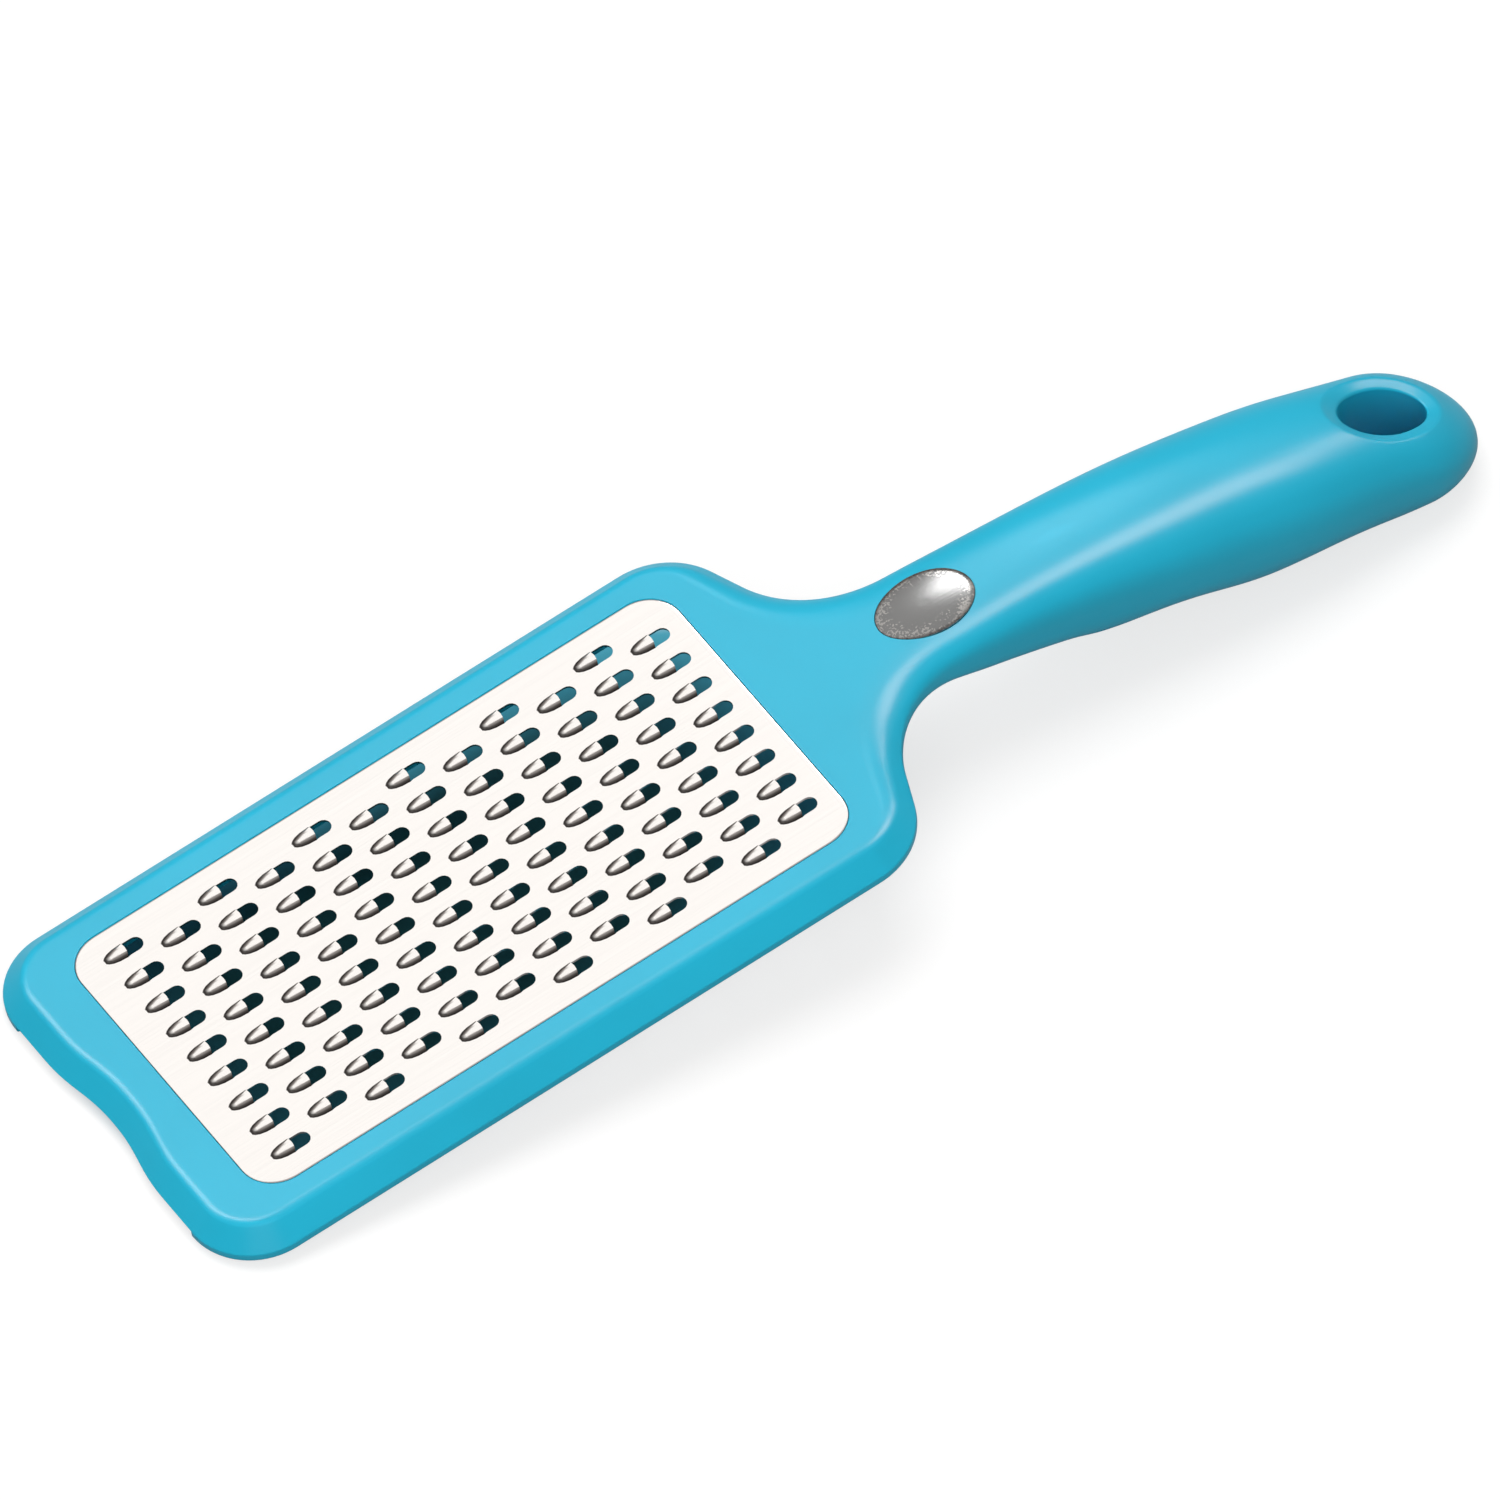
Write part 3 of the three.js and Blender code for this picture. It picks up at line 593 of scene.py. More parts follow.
def close(bm):
    bmesh.ops.holes_fill(bm, edges=[edge for edge in bm.edges if edge.is_boundary])
    bmesh.ops.recalc_face_normals(bm, faces=bm.faces)
    return bm


def stacked(rings):
    around = len(rings[0])
    return bent_grid(around, len(rings) - 1, lambda column, row: rings[row][column % around])


print("grid helpers:", [helper.__name__ for helper in (bent_grid, close, stacked)])

# %% [markdown]
# ## The skin of the moulding
# The half skin has one column for each point of the outline and one row for each level of the section. At
# the neck the rail fades into the handle's oval. Over the handle a first and a last row reach the middle
# plane and close it, and the flat frame is left open there for one flat face. A mirror makes the other
# half.

# %% Bend the skin
BLEND_START = NECK_X - 23
BLEND_END = NECK_X + 7
SOFTEN_START = 60
SOFTEN_END = 78
NECK_SQUARENESS = 3
SQUARENESS_LOSS = 0.8
MIDDLE_SEAM = 1e-3


def squareness(x):
    return NECK_SQUARENESS - SQUARENESS_LOSS * smoothstep(x, NECK_X, BELLY_X)


def grip_point(point, angle):
    power = 2 / squareness(point.x)
    spine = Vector((min(point.x, TAIL_X), 0))
    plan = spine.lerp(point, max(math.cos(angle), 0) ** power)
    edge = top_line(plan.x) if angle > 0 else underside(plan.x)
    middle = mid_line(plan.x)
    return Vector((plan.x, plan.y, middle + (edge - middle) * math.sin(abs(angle)) ** power))


def skin_point(column, row):
    point = outline[column]
    level = min(max(row - 1, 0), len(section) - 1)
    softness = smoothstep(point.x, SOFTEN_START, SOFTEN_END)
    inset, height = section[level].lerp(soft_section[level], softness)
    rail = point - inset * outward_normals[column]
    angle = math.pi * ((level + 0.5) / len(section) - 0.5)
    amount = smoothstep(point.x, BLEND_START, BLEND_END)
    on_spine = row != level + 1 and amount > 0
    if on_spine:
        rail = Vector((rail.x, 0))
        angle = math.copysign(quarter, angle)
    rail = Vector((rail.x, rail.y, height))
    return rail.lerp(grip_point(point, angle), amount)


def skin():
    bm = bent_grid(len(outline) - 1, len(section) + 1, skin_point)
    everything = bm.verts[:] + bm.edges[:] + bm.faces[:]
    bmesh.ops.mirror(bm, geom=everything, matrix=Matrix.Identity(4), merge_dist=MIDDLE_SEAM, axis="Y")
    return close(bm)


body = as_object("moulding", skin())
print("skin faces:", len(body.data.polygons))

# %% [markdown]
# ## Cutting the moulding
# The tool that moulds the frame has cores for the opening, the channel for the plate and its ring, the
# hang hole, the badge's seat and the cover's seat. Each core becomes a closed cutter, and a Boolean takes
# it away. The result is kept as a plain mesh and the cutter is thrown out.

# %% Write the cutter
def carve(piece, cutter, operation="DIFFERENCE"):
    cut = piece.modifiers.new("cut", "BOOLEAN")
    cut.object = cutter
    cut.operation = operation
    cut.solver = "EXACT"
    shown = piece.evaluated_get(bpy.context.evaluated_depsgraph_get())
    carved = bpy.data.meshes.new_from_object(shown)
    piece.modifiers.clear()
    piece.data = carved
    bpy.data.objects.remove(cutter)


print("cutter:", carve.__name__)

# %% [markdown]
# ## The opening
# The plate lies in an opening with round corners, and below the lip a wider channel takes the plate's
# flange and its ring. One core makes both. It flares at the top, which rounds the edge round the plate. A
# flat block takes a little off the underside of the nose.

# %% Cut the opening and the channel
OPENING_LENGTH = 116.7
OPENING_WIDTH = 60
OPENING_CORNER = 6.4
CHANNEL_WIDTH = 3.7
LIP = 1
FAR = 60
EDGE = 0.2
RELIEF_SIZE = (8, 51.4, 3.5, 1)


def opening_ring(margin, z):
    radius = OPENING_CORNER + margin
    ring = []
    for i, (sx, sy) in enumerate([(1, 1), (-1, 1), (-1, -1), (1, -1)]):
        middle = Vector((
            sx * (OPENING_LENGTH / 2 - OPENING_CORNER),
            sy * (OPENING_WIDTH / 2 - OPENING_CORNER),
        ))
        ring += arc(middle, radius, radius, i * quarter, (i + 1) * quarter, count=12)
    return [Vector((point.x, point.y, z)) for point in ring]


def flare(width, height, count=6, reach=0.85):
    angles = [reach * quarter * share for share in shares(count)]
    points = [Vector((width * (1 - math.cos(a)), height * (math.sin(a) - 1))) for a in angles]
    onward = Vector((width * math.sin(angles[-1]), height * math.cos(angles[-1])))
    return points + [points[-1] + onward / 2]


levels = [(CHANNEL_WIDTH, -FAR), (CHANNEL_WIDTH, -LIP), (0, -LIP), *flare(EDGE, EDGE)]
levels.append((levels[-1][0], FAR))
carve(body, as_object("opening_core", close(stacked([opening_ring(*level) for level in levels]))))

relief = bmesh.new()
relief_place = Matrix.Translation((NOSE_X, 0, -FRAME_DEPTH)) @ Matrix.Diagonal(RELIEF_SIZE)
bmesh.ops.create_cube(relief, size=1, matrix=relief_place)
carve(body, as_object("heel_core", relief))
print("after the opening:", len(body.data.polygons), "faces")

# %% [markdown]
# ## The hang hole
# The hole follows the bent skin, so each ring of its core is draped at a depth below the skin. Its mouth
# is dished above and below, as on a handle that hangs on a hook, and the dish has soft edges that catch
# the light.

# %% Cut the hang hole
HOLE_X = END_X - 14.9
HOLE_HALF_LENGTH = 7.5
HOLE_HALF_WIDTH = 5.35
DISH_WIDTH = 2.3
DISH_DEPTH = 1.7
DISH_OVERSHOOT = 0.25


def skin_height(x, y, edge_line):
    if x <= TAIL_X:
        out = abs(y) / half_width(x)
    else:
        out = math.hypot((x - TAIL_X) / TAIL_ROUND, y / TAIL_HALF_WIDTH)
    power = squareness(x)
    share = (1 - min(1, out) ** power) ** (1 / power)
    return mid_line(x) + (edge_line(x) - mid_line(x)) * share


def oval(centre_x, half_length, half_breadth, count):
    return arc(Vector((centre_x, 0)), half_length, half_breadth, 0, 4 * quarter, count)[:-1]


def hole_ring(grow, rise, edge_line=None):
    ring = oval(HOLE_X, HOLE_HALF_LENGTH + grow, HOLE_HALF_WIDTH + grow, count=64)
    if edge_line is None:
        return [Vector((point.x, point.y, rise)) for point in ring]
    return [Vector((point.x, point.y, skin_height(*point, edge_line) + rise)) for point in ring]


def softened(points, share=0.22):
    path = [Vector(point) for point in points]
    soft = [path[0]]
    for before, here, after in zip(path, path[1:], path[2:]):
        enter = here.lerp(before, share)
        leave = here.lerp(after, share)
        soft += turn_corner(enter, here, leave, pull=0.6, count=5)
    return soft + [path[-1]]


rim = softened([(0, -2 * DISH_DEPTH), (0, -DISH_DEPTH), (DISH_WIDTH, 0), (2 * DISH_WIDTH, DISH_OVERSHOOT)])
rings = [hole_ring(rim[-1].x, -FAR)]
rings += [hole_ring(point.x, -point.y, underside) for point in reversed(rim)]
rings += [hole_ring(point.x, point.y, top_line) for point in rim]
rings.append(hole_ring(rim[-1].x, FAR))
carve(body, as_object("hole_core", close(stacked(rings))))
print("after the hang hole:", len(body.data.polygons), "faces")

# %% [markdown]
# ## The cover of the handle
# A thick handle is cored out so that it cools evenly in the mould, and a cover closes it from below. The
# parting line runs along the lower flank. One slab below that line is taken away from the moulding as the
# seat, and a slightly smaller slab of the same skin is kept as the cover, so both meet with a hairline gap.

# %% Cut the seat and keep the cover
GAP = 0.3
COVER_START = NECK_X + 6
COVER_END = HOLE_X - HOLE_HALF_LENGTH - 2
COVER_STEPS = 48
PARTING_SHARE = 0.62


def parting(x):
    return mid_line(x) + PARTING_SHARE * (straight_underside(x) - mid_line(x))


def slab(gap):
    rings = []
    for share in shares(COVER_STEPS):
        x = COVER_START - gap + (COVER_END - COVER_START + 2 * gap) * share
        top = parting(x) + gap
        rings.append([Vector((x, y, z)) for y, z in [(-FAR, -FAR), (FAR, -FAR), (FAR, top), (-FAR, top)]])
    return as_object("cover_slab", close(stacked(rings)))


carve(body, slab(GAP))
cover = as_object("handle_cover", skin())
carve(cover, slab(0), "INTERSECT")
print("cover faces:", len(cover.data.polygons))

# %% [markdown]
# ## The badge and its seat
# An oval of sheet metal is pressed into a slight dome and let into the neck. It is a little fuller towards
# the handle. The dome is made of ever smaller copies of the oval, which rise as a parabola does, so it has
# no crest. Each point keeps how near it is to the border, because the metal is worn there. The seat in the
# moulding is the same oval, grown by a hairline.

# %% Make the badge
BADGE_HALF_LENGTH = 8.85
BADGE_HALF_WIDTH = 6.2
BADGE_FULLNESS = 0.05
BADGE_SINK = 1
BADGE_EDGE = 0.16
BADGE_PROUD = 0.2
BADGE_CROWN = 0.5
BADGE_STEPS = 12
SEAT_GAP = 0.06
SEAT_FLOOR = 0.1
badge_x = NECK_X + 1.4
badge_slope = math.atan2(top_line(badge_x - 1) - top_line(badge_x + 1), 2)
badge_place = Matrix.Translation((badge_x, 0, top_line(badge_x))) @ Matrix.Rotation(badge_slope, 4, "Y")


def badge_ring(grow, z, share=1):
    ring = oval(0, share * (BADGE_HALF_LENGTH + grow), share * (BADGE_HALF_WIDTH + grow), count=72)
    fuller = [1 + BADGE_FULLNESS * point.x / BADGE_HALF_LENGTH for point in ring]
    return [Vector((point.x, point.y * wider, z)) for point, wider in zip(ring, fuller)]


rings = [badge_ring(0, -BADGE_SINK)]
for angle in (0, 0.4, 0.8, 1.2):
    inset = BADGE_EDGE * (1 - math.cos(angle))
    rings.append(badge_ring(-inset, BADGE_EDGE * (math.sin(angle) - (1 - BADGE_PROUD))))
for share in shares(BADGE_STEPS)[-2:0:-1]:
    rise = BADGE_CROWN * (1 - share ** 2)
    rings.append(badge_ring(-BADGE_EDGE, BADGE_PROUD * BADGE_EDGE + rise, share))
badge_bm = close(stacked(rings))
nearness = badge_bm.verts.layers.float.new("border")
for vert in badge_bm.verts:
    vert[nearness] = math.hypot(vert.co.x / BADGE_HALF_LENGTH, vert.co.y / BADGE_HALF_WIDTH)
badge_bm.transform(badge_place)
badge = as_object("badge", badge_bm)

seat_heights = [-BADGE_SINK - SEAT_FLOOR, SEAT_FLOOR - BADGE_SINK, FAR]
seat = close(stacked([badge_ring(SEAT_GAP, z) for z in seat_heights]))
seat.transform(badge_place)
carve(body, as_object("badge_core", seat))
print("badge faces:", len(badge.data.polygons))

# %% [markdown]
# ## The ring under the plate
# A plain moulded ring clamps the plate's border from below. It is only seen from underneath, but it is
# what holds the plate. Its section is a rectangle with small chamfers, carried round the opening.

# %% Make the ring
RING_UNDER = -5.45
RING_OUTER = 3.4
RING_INNER = -1.6
RING_EDGE = 0.35
ring_levels = [
    (RING_OUTER - RING_EDGE, RING_TOP),
    (RING_OUTER, RING_TOP - RING_EDGE),
    (RING_OUTER, RING_UNDER + RING_EDGE),
    (RING_OUTER - RING_EDGE, RING_UNDER),
    (RING_INNER + RING_EDGE, RING_UNDER),
    (RING_INNER, RING_UNDER + RING_EDGE),
    (RING_INNER, RING_TOP - RING_EDGE),
    (RING_INNER + RING_EDGE, RING_TOP),
    (RING_OUTER - RING_EDGE, RING_TOP),
]
ring = as_object("ring", close(stacked([opening_ring(*level) for level in ring_levels])))
print("ring faces:", len(ring.data.polygons))

# %% [markdown]
# ## The stakes
# Eight stakes of the frame pass through the ring and are melted down into round heads. One stake is a
# turned profile, given as radius and height from the bottom up, and copies of it stand at all the places.
# The same goes for the stepped holes in the ring that the heads sink into.

# %% Stake the ring
STAKE_X = OPENING_LENGTH / 2 + 1.3
STAKE_Y = OPENING_WIDTH / 2 + 1.3
STAKE_SPACING = 40
STAKE_SIDES = 20
stake_places = [(STAKE_X, 0), (-STAKE_X, 0)]
stake_places += [(x, y) for x in (-STAKE_SPACING, 0, STAKE_SPACING) for y in (STAKE_Y, -STAKE_Y)]
stake_hole = [(1.7, -FAR), (1.7, -4.45), (1.1, -4.45), (1.1, FAR)]
stake_head = [(0.9, RING_UNDER + 0.05), (1.15, -5.38), (1.35, -5.2), (1.4, -4.95), (1.4, -4.75)]
stake_shaft = [(0.8, -4.75), (0.8, -LIP / 2)]


def turned(profile):
    rings = []
    for radius, z in profile:
        rings.append([Vector((*point, z)) for point in oval(0, radius, radius, STAKE_SIDES)])
    return close(stacked(rings))


def repeated(mesh, places):
    bm = bmesh.new()
    for x, y in places:
        known = len(bm.verts)
        bm.from_mesh(mesh)
        bmesh.ops.translate(bm, verts=bm.verts[known:], vec=(x, y, 0))
    bpy.data.meshes.remove(mesh)
    return bm


def at_stakes(name, profile):
    return as_object(name, repeated(as_mesh("single", turned(profile)), stake_places))


carve(ring, at_stakes("stake_cores", stake_hole))
carve(body, at_stakes("stakes", stake_head + stake_shaft), "UNION")
print("ring faces:", len(ring.data.polygons), "stakes:", len(stake_places))

# %% [markdown]
# ## One tooth
# A press slits the sheet and pushes one side of the slit up into a hood, with two flanks and a narrow top
# between two creases. The hood runs down to a point, and its other end is the cutting lip. The section is
# given as levels of one flank: how far it has climbed inwards, how high it is, and how much painted shade
# goes into the steel's colour there, darkest at the fold, since a tight fold mirrors little but itself.

# %% Draw the hood
HOOD_LENGTH = 4
HOOD_HALF_WIDTH = 1.48
HOOD_HEIGHT = 0.9
HOOD_TAPER = 2.3
HOOD_SLOPE = 1.25
CREASE = 0.58
CREASE_TAPER = 1.5
LIP_SWEEP = 0.3
DARK_START = 0.68
DARK_END = 0.92
hood_rows = [0, 0.4, 0.7, 0.88, 0.97, 1]
flank = [(-0.06, 0, 0), (0, 0, 1), (0.42, 0.52, 0.8), (1, 0.95, 0)]
crown = (0, 1, 1, 0)
hood_section = [(-1, *level) for level in flank] + [crown] + [(1, *level) for level in reversed(flank)]


def hood_half_width(share):
    return HOOD_HALF_WIDTH * math.sqrt(1 - share ** HOOD_TAPER)


def hood_point(column, row):
    share = hood_rows[row]
    side, climb, rise, _ = hood_section[column]
    out = side * (1 - climb * (1 - CREASE * (1 - share ** CREASE_TAPER)))
    length = HOOD_LENGTH + HOOD_HALF_WIDTH * max(0, abs(out) - 1)
    half = hood_half_width(share * HOOD_LENGTH / length)
    sweep = LIP_SWEEP * out ** 2 * (1 - share)
    return Vector((-share * length - sweep, out * half, rise * HOOD_HEIGHT * (1 - share ** HOOD_SLOPE)))


# painted shade: darkness put into the steel's colour at the folds, on the lower flanks and towards the tip
def painted_fold_shade_amount(column, row):
    _, climb, _, darkness = hood_section[column]
    tip = smoothstep(hood_rows[row], DARK_START, DARK_END)
    return 0 if climb < 0 or hood_rows[row] == 1 else max(darkness, tip)


print("points of one hood:", len(hood_section) * len(hood_rows))

# %% [markdown]
# ## One tile of the sheet
# Beyond the cutting lip the sheet is open, as a window with a round end. The hood, the window and the flat
# sheet around them make a tile of a few dozen faces, and no more, because it is repeated a hundred times.
# The tile's border is marked as a seam, so that the edge of the whole field can be found later.

# %% Draw one tile
WINDOW_START = 0.3
WINDOW_LENGTH = 3.3
WINDOW_HALF_WIDTH = 1.38
COLUMN_PITCH = 9.15
ROW_PITCH = 6.12
TILE_SHIFT = (WINDOW_LENGTH - HOOD_LENGTH) / 2
FLAT = 1e-5


def add_chain(bm, points, first=None, last=None):
    verts = [bm.verts.new((*point, 0)) for point in points]
    verts = ([first] if first else []) + verts + ([last] if last else [])
    return [bm.edges.new(pair) for pair in zip(verts, verts[1:])]


def tooth_tile():
    bm = bent_grid(len(hood_section) - 1, len(hood_rows) - 1, hood_point, "fold_shade", painted_fold_shade_amount)
    open_edges = [edge for edge in bm.edges if edge.is_boundary]
    foot = [edge for edge in open_edges if all(vert.co.z < FLAT for vert in edge.verts)]
    on_foot = {vert for edge in foot for vert in edge.verts}
    lip = [vert for edge in open_edges if edge not in foot for vert in edge.verts]
    lip_ends = sorted((vert for vert in lip if vert in on_foot), key=lambda vert: vert.co.y)
    end_middle = Vector((WINDOW_LENGTH - WINDOW_HALF_WIDTH, 0))
    end = arc(end_middle, WINDOW_HALF_WIDTH, WINDOW_HALF_WIDTH, -quarter, quarter, count=8)
    sides = [(WINDOW_START, -WINDOW_HALF_WIDTH), *end, (WINDOW_START, WINDOW_HALF_WIDTH)]
    window = add_chain(bm, sides, *lip_ends)
    x0, x1 = TILE_SHIFT - COLUMN_PITCH / 2, TILE_SHIFT + COLUMN_PITCH / 2
    y1 = ROW_PITCH / 2
    border = add_chain(bm, [(x0, -y1), (0, -y1), (x1, -y1), (x1, 0), (x1, y1), (0, y1), (x0, y1), (x0, 0)])
    border.append(bm.edges.new((border[-1].verts[1], border[0].verts[0])))
    for edge in border:
        edge.seam = True
    bmesh.ops.triangle_fill(bm, use_beauty=True, edges=foot + window + border, normal=(0, 0, 1))
    return bm


tile = as_mesh("tile", tooth_tile())
print("faces of one tooth:", len(tile.polygons))

# %% [markdown]
# ## The field of teeth
# Twelve columns of teeth stand nine and eight by turns, half a pitch aside, so food meets an edge wherever
# it slides. Copies of the tile meet edge to edge, and merging their doubles makes one sheet of them.

# %% Repeat the tile
COLUMNS = 12
ROWS = 9
FIELD_SHIFT = 1.15
TILE_SEAM = 1e-3

tooth_places = []
for column in range(COLUMNS):
    rows = ROWS - column % 2
    x = FIELD_SHIFT + (column - (COLUMNS - 1) / 2) * COLUMN_PITCH
    tooth_places += [(x, (row - (rows - 1) / 2) * ROW_PITCH) for row in range(rows)]
plate_bm = repeated(tile, tooth_places)
bmesh.ops.remove_doubles(plate_bm, verts=plate_bm.verts, dist=TILE_SEAM)
field_edge = [edge for edge in plate_bm.edges if edge.seam and edge.is_boundary]
print("teeth:", len(tooth_places), "edges round the field:", len(field_edge))

# %% [markdown]
# ## The whole plate
# Round the field the sheet is flat. At its border it is set down, so that the flange lies under the
# frame's lip, and that bend is a stack of rings like the opening's. One operator fills the flat between
# the field and the border, and another gives the sheet its gauge. That one adds the cut edges' faces in an
# order that changes from run to run, so the faces are sorted by place afterwards.

# %% Make the plate
FLANGE = 3.2
FLANGE_Z = -1.3
SHEET = 0.45
bend = [(-0.5, 0), (-0.25, -0.02), (-0.1, -0.1), (-0.05, -0.25), (-0.05, -0.95), (0, -1.22)]
bend += [(0.3, FLANGE_Z), (FLANGE, FLANGE_Z)]

border = as_mesh("border", stacked([opening_ring(*level) for level in bend]))
inside = set(plate_bm.edges)
plate_bm.from_mesh(border)
bpy.data.meshes.remove(border)
border_edges = [edge for edge in plate_bm.edges if edge not in inside]
top_edge = [edge for edge in border_edges if all(vert.co.z > -FLAT for vert in edge.verts)]
bmesh.ops.triangle_fill(plate_bm, use_beauty=True, edges=field_edge + top_edge, normal=(0, 0, 1))
bmesh.ops.recalc_face_normals(plate_bm, faces=plate_bm.faces)
if sum(face.normal.z for face in plate_bm.faces) < 0:
    bmesh.ops.reverse_faces(plate_bm, faces=plate_bm.faces)
bmesh.ops.solidify(plate_bm, geom=plate_bm.faces[:], thickness=SHEET)
by_place = sorted(plate_bm.faces, key=lambda face: tuple(face.calc_center_median()))
for i, face in enumerate(by_place):
    face.index = i
plate_bm.faces.sort()
heights = [vert.co.z for vert in plate_bm.verts]
print("plate, lowest and highest, mm:", round(min(heights), 2), round(max(heights), 2))
plate = as_object("plate", plate_bm)
print("plate faces:", len(plate.data.polygons))

# %% [markdown]
# ## Moulded plastic
# The frame, the cover and the ring come from moulds, so they share one effect: a colour that varies a
# little, and a very fine unevenness of the skin. It is kept in a node group that gives out a colour and a
# normal, and each material decides for itself how glossy it is.

# %% Mix the plastics
TURQUOISE = (0.012, 0.43, 0.63, 1)


def new_group(name, inputs, outputs):
    group = bpy.data.node_groups.new(name, "ShaderNodeTree")
    for socket, kind in inputs:
        group.interface.new_socket(socket, in_out="INPUT", socket_type=kind)
    for socket, kind in outputs:
        group.interface.new_socket(socket, in_out="OUTPUT", socket_type=kind)
    entry = group.nodes.new("NodeGroupInput")
    leave = group.nodes.new("NodeGroupOutput")
    return group, entry, leave


moulded, entry, leave = new_group(
    "moulded_skin",
    [("Color", "NodeSocketColor"), ("Grain", "NodeSocketFloat")],
    [("Color", "NodeSocketColor"), ("Normal", "NodeSocketVector")],
)
coordinates = add_node(moulded, "ShaderNodeTexCoord").outputs["Object"]
flow = noise(moulded, coordinates, scale=35, detail=3)
limits = {"Value": flow, "From Min": 0.3, "From Max": 0.7, "To Min": 0.96, "To Max": 1.04}
amount = add_node(moulded, "ShaderNodeMapRange", limits).outputs["Result"]
tinted = add_node(moulded, "ShaderNodeHueSaturation", {"Color": entry.outputs["Color"], "Value": amount})
grain = noise(moulded, coordinates, scale=900)
bumps = {"Height": grain, "Strength": entry.outputs["Grain"], "Distance": 0.0002}
uneven = add_node(moulded, "ShaderNodeBump", bumps)
moulded.links.new(tinted.outputs["Color"], leave.inputs["Color"])
moulded.links.new(uneven.outputs["Normal"], leave.inputs["Normal"])


def plastic(name, roughness, grain_strength):
    material, tree, surface = new_material(name)
    effect = add_node(tree, "ShaderNodeGroup", node_tree=moulded)
    effect.inputs["Color"].default_value = TURQUOISE
    effect.inputs["Grain"].default_value = grain_strength
    tree.links.new(effect.outputs["Color"], surface.inputs["Base Color"])
    tree.links.new(effect.outputs["Normal"], surface.inputs["Normal"])
    surface.inputs["Roughness"].default_value = roughness
    surface.inputs["Specular IOR Level"].default_value = 0.28
    return material


frame_plastic = plastic("frame_plastic", roughness=0.3, grain_strength=0.03)
cover_plastic = plastic("cover_plastic", roughness=0.32, grain_strength=0.03)
ring_plastic = plastic("ring_plastic", roughness=0.5, grain_strength=0.15)
print("plastics:", frame_plastic.name, cover_plastic.name, ring_plastic.name)

# %% [markdown]
# ## Rolled metal
# Sheet metal comes off its rollers with fine lines along it. Noise that is stretched far in one direction
# gives them, and the two metals share that as a second node group. The plate is bright and the badge dull.

# %% Roll the metals
ROLL_STRETCH = (40, 3000, 40)
PALER = 1.04

rolled, entry, leave = new_group(
    "rolled_metal",
    [("Strength", "NodeSocketFloat")],
    [("Streaks", "NodeSocketFloat"), ("Normal", "NodeSocketVector")],
)
coordinates = add_node(rolled, "ShaderNodeTexCoord").outputs["Object"]
stretched = add_node(rolled, "ShaderNodeMapping", {"Vector": coordinates, "Scale": ROLL_STRETCH})
streaks = noise(rolled, stretched.outputs["Vector"], scale=1, detail=3)
bumps = {"Height": streaks, "Strength": entry.outputs["Strength"], "Distance": 0.0001}
lines = add_node(rolled, "ShaderNodeBump", bumps)
rolled.links.new(streaks, leave.inputs["Streaks"])
rolled.links.new(lines.outputs["Normal"], leave.inputs["Normal"])


def metal(name, colour, roughness, strength):
    material, tree, surface = new_material(name)
    effect = add_node(tree, "ShaderNodeGroup", node_tree=rolled)
    effect.inputs["Strength"].default_value = strength
    paler = tuple(min(1, PALER * value) for value in colour)
    streaky = ramp(tree, effect.outputs["Streaks"], (0.3, colour), (0.7, paler))
    tree.links.new(streaky, surface.inputs["Base Color"])
    tree.links.new(effect.outputs["Normal"], surface.inputs["Normal"])
    surface.inputs["Metallic"].default_value = 1
    surface.inputs["Roughness"].default_value = roughness
    return material


plate_steel = metal("plate_steel", (0.9, 0.87, 0.85), roughness=0.14, strength=0.015)
badge_metal = metal("badge_metal", (0.2, 0.2, 0.2), roughness=0.2, strength=0.1)
print("metals:", plate_steel.name, badge_metal.name)

# %% [markdown]
# ## Painted fold shade and a worn border
# Both metals get one more layer of colour, mixed over the first by a mask. On the plate the mask is the
# painted shade that was left on each hood's points, which darkens its folds. On the badge it is a speckle
# of pale grains in patches, which thickens towards the border, where the metal is worn.

# %% Shade the folds and wear the badge
PAINTED_FOLD_SHADE = (0.014, 0.01, 0.008, 1)
SPECKLE = (0.35, 0.34, 0.33, 1)
PATCH_LEVEL = 0.5
SPECKLE_START = 0.435
SPECKLE_END = 0.465


def paint_over(material, mask, colour):
    tree = material.node_tree
    base = tree.nodes["Principled BSDF"].inputs["Base Color"]
    tree.links.new(mix_colours(tree, mask, base.links[0].from_socket, colour), base)
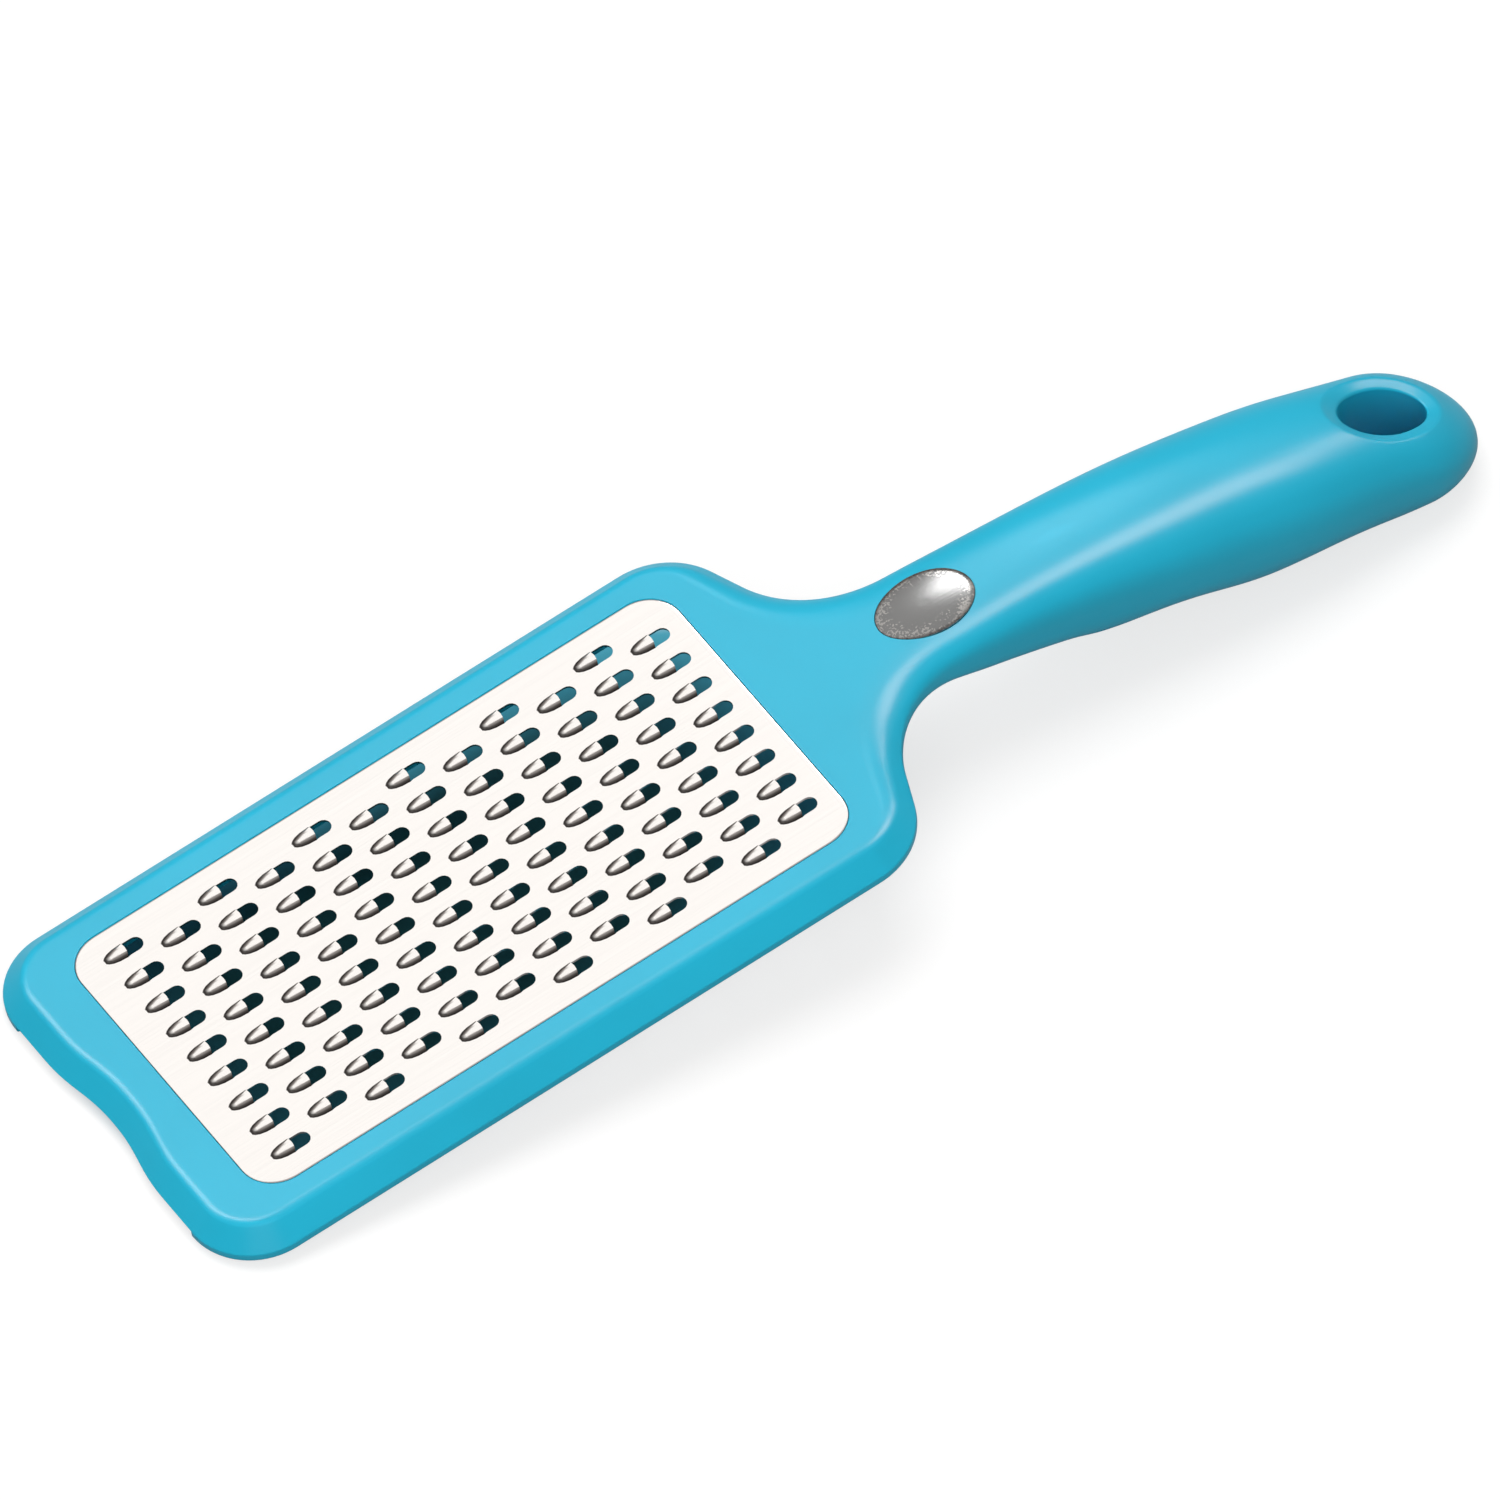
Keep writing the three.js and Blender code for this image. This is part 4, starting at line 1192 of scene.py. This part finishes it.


# painted shade: each hood's folds, lower flanks and tip are darkened in the steel's colour
tree = plate_steel.node_tree
fold_shade = add_node(tree, "ShaderNodeAttribute", attribute_name="fold_shade").outputs["Fac"]
paint_over(plate_steel, fold_shade, PAINTED_FOLD_SHADE)

tree = badge_metal.node_tree
coordinates = add_node(tree, "ShaderNodeTexCoord").outputs["Object"]
border = add_node(tree, "ShaderNodeAttribute", attribute_name="border").outputs["Fac"]
grains = noise(tree, coordinates, scale=2600, detail=1)
patches = maths(tree, "ADD", noise(tree, coordinates, scale=350, detail=1), PATCH_LEVEL)
worn = maths(tree, "MULTIPLY", maths(tree, "MULTIPLY", border, patches), grains)
limits = {"Value": worn, "From Min": SPECKLE_START, "From Max": SPECKLE_END}
paint_over(badge_metal, add_node(tree, "ShaderNodeMapRange", limits).outputs["Result"], SPECKLE)
print("nodes of the metals:", len(plate_steel.node_tree.nodes), len(badge_metal.node_tree.nodes))

# %% [markdown]
# ## Putting the pieces in place
# Each finished mesh is laid into the row frame, shaded smooth with its sharp edges kept, and the CAD node
# that it stands for is hidden. Weighted normals keep the large flat faces flat beside their small
# roundings.

# %% Place the pieces
SHARP = math.radians(32)


def finish_piece(piece, node, material):
    piece.data.transform(place)
    piece.data.materials.clear()
    piece.data.materials.append(material)
    piece.data.shade_smooth()
    piece.data.set_sharp_from_angle(angle=SHARP)
    weighted = piece.modifiers.new("even_normals", "WEIGHTED_NORMAL")
    weighted.keep_sharp = True
    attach(piece, "root")
    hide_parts(node)


finish_piece(body, "frame_body", frame_plastic)
finish_piece(cover, "handle_back_cover", cover_plastic)
finish_piece(plate, "grating_plate", plate_steel)
finish_piece(ring, "plate_retainer", ring_plastic)
finish_piece(badge, "oval_badge", badge_metal)
print("pieces:", [piece.name for piece in (body, cover, plate, ring, badge)])

# %% [markdown]
# ## Gloss for the body only
# The gloss lamps are there for the plastic. On the steel their mirror image would show as coloured spots,
# so light linking lets them reach the moulding and the cover and nothing else.

# %% Link the gloss lamps
glossed = bpy.data.collections.new("glossed")
for piece in (body, cover):
    glossed.objects.link(piece)
for box in gloss_lights:
    box.light_linking.receiver_collection = glossed
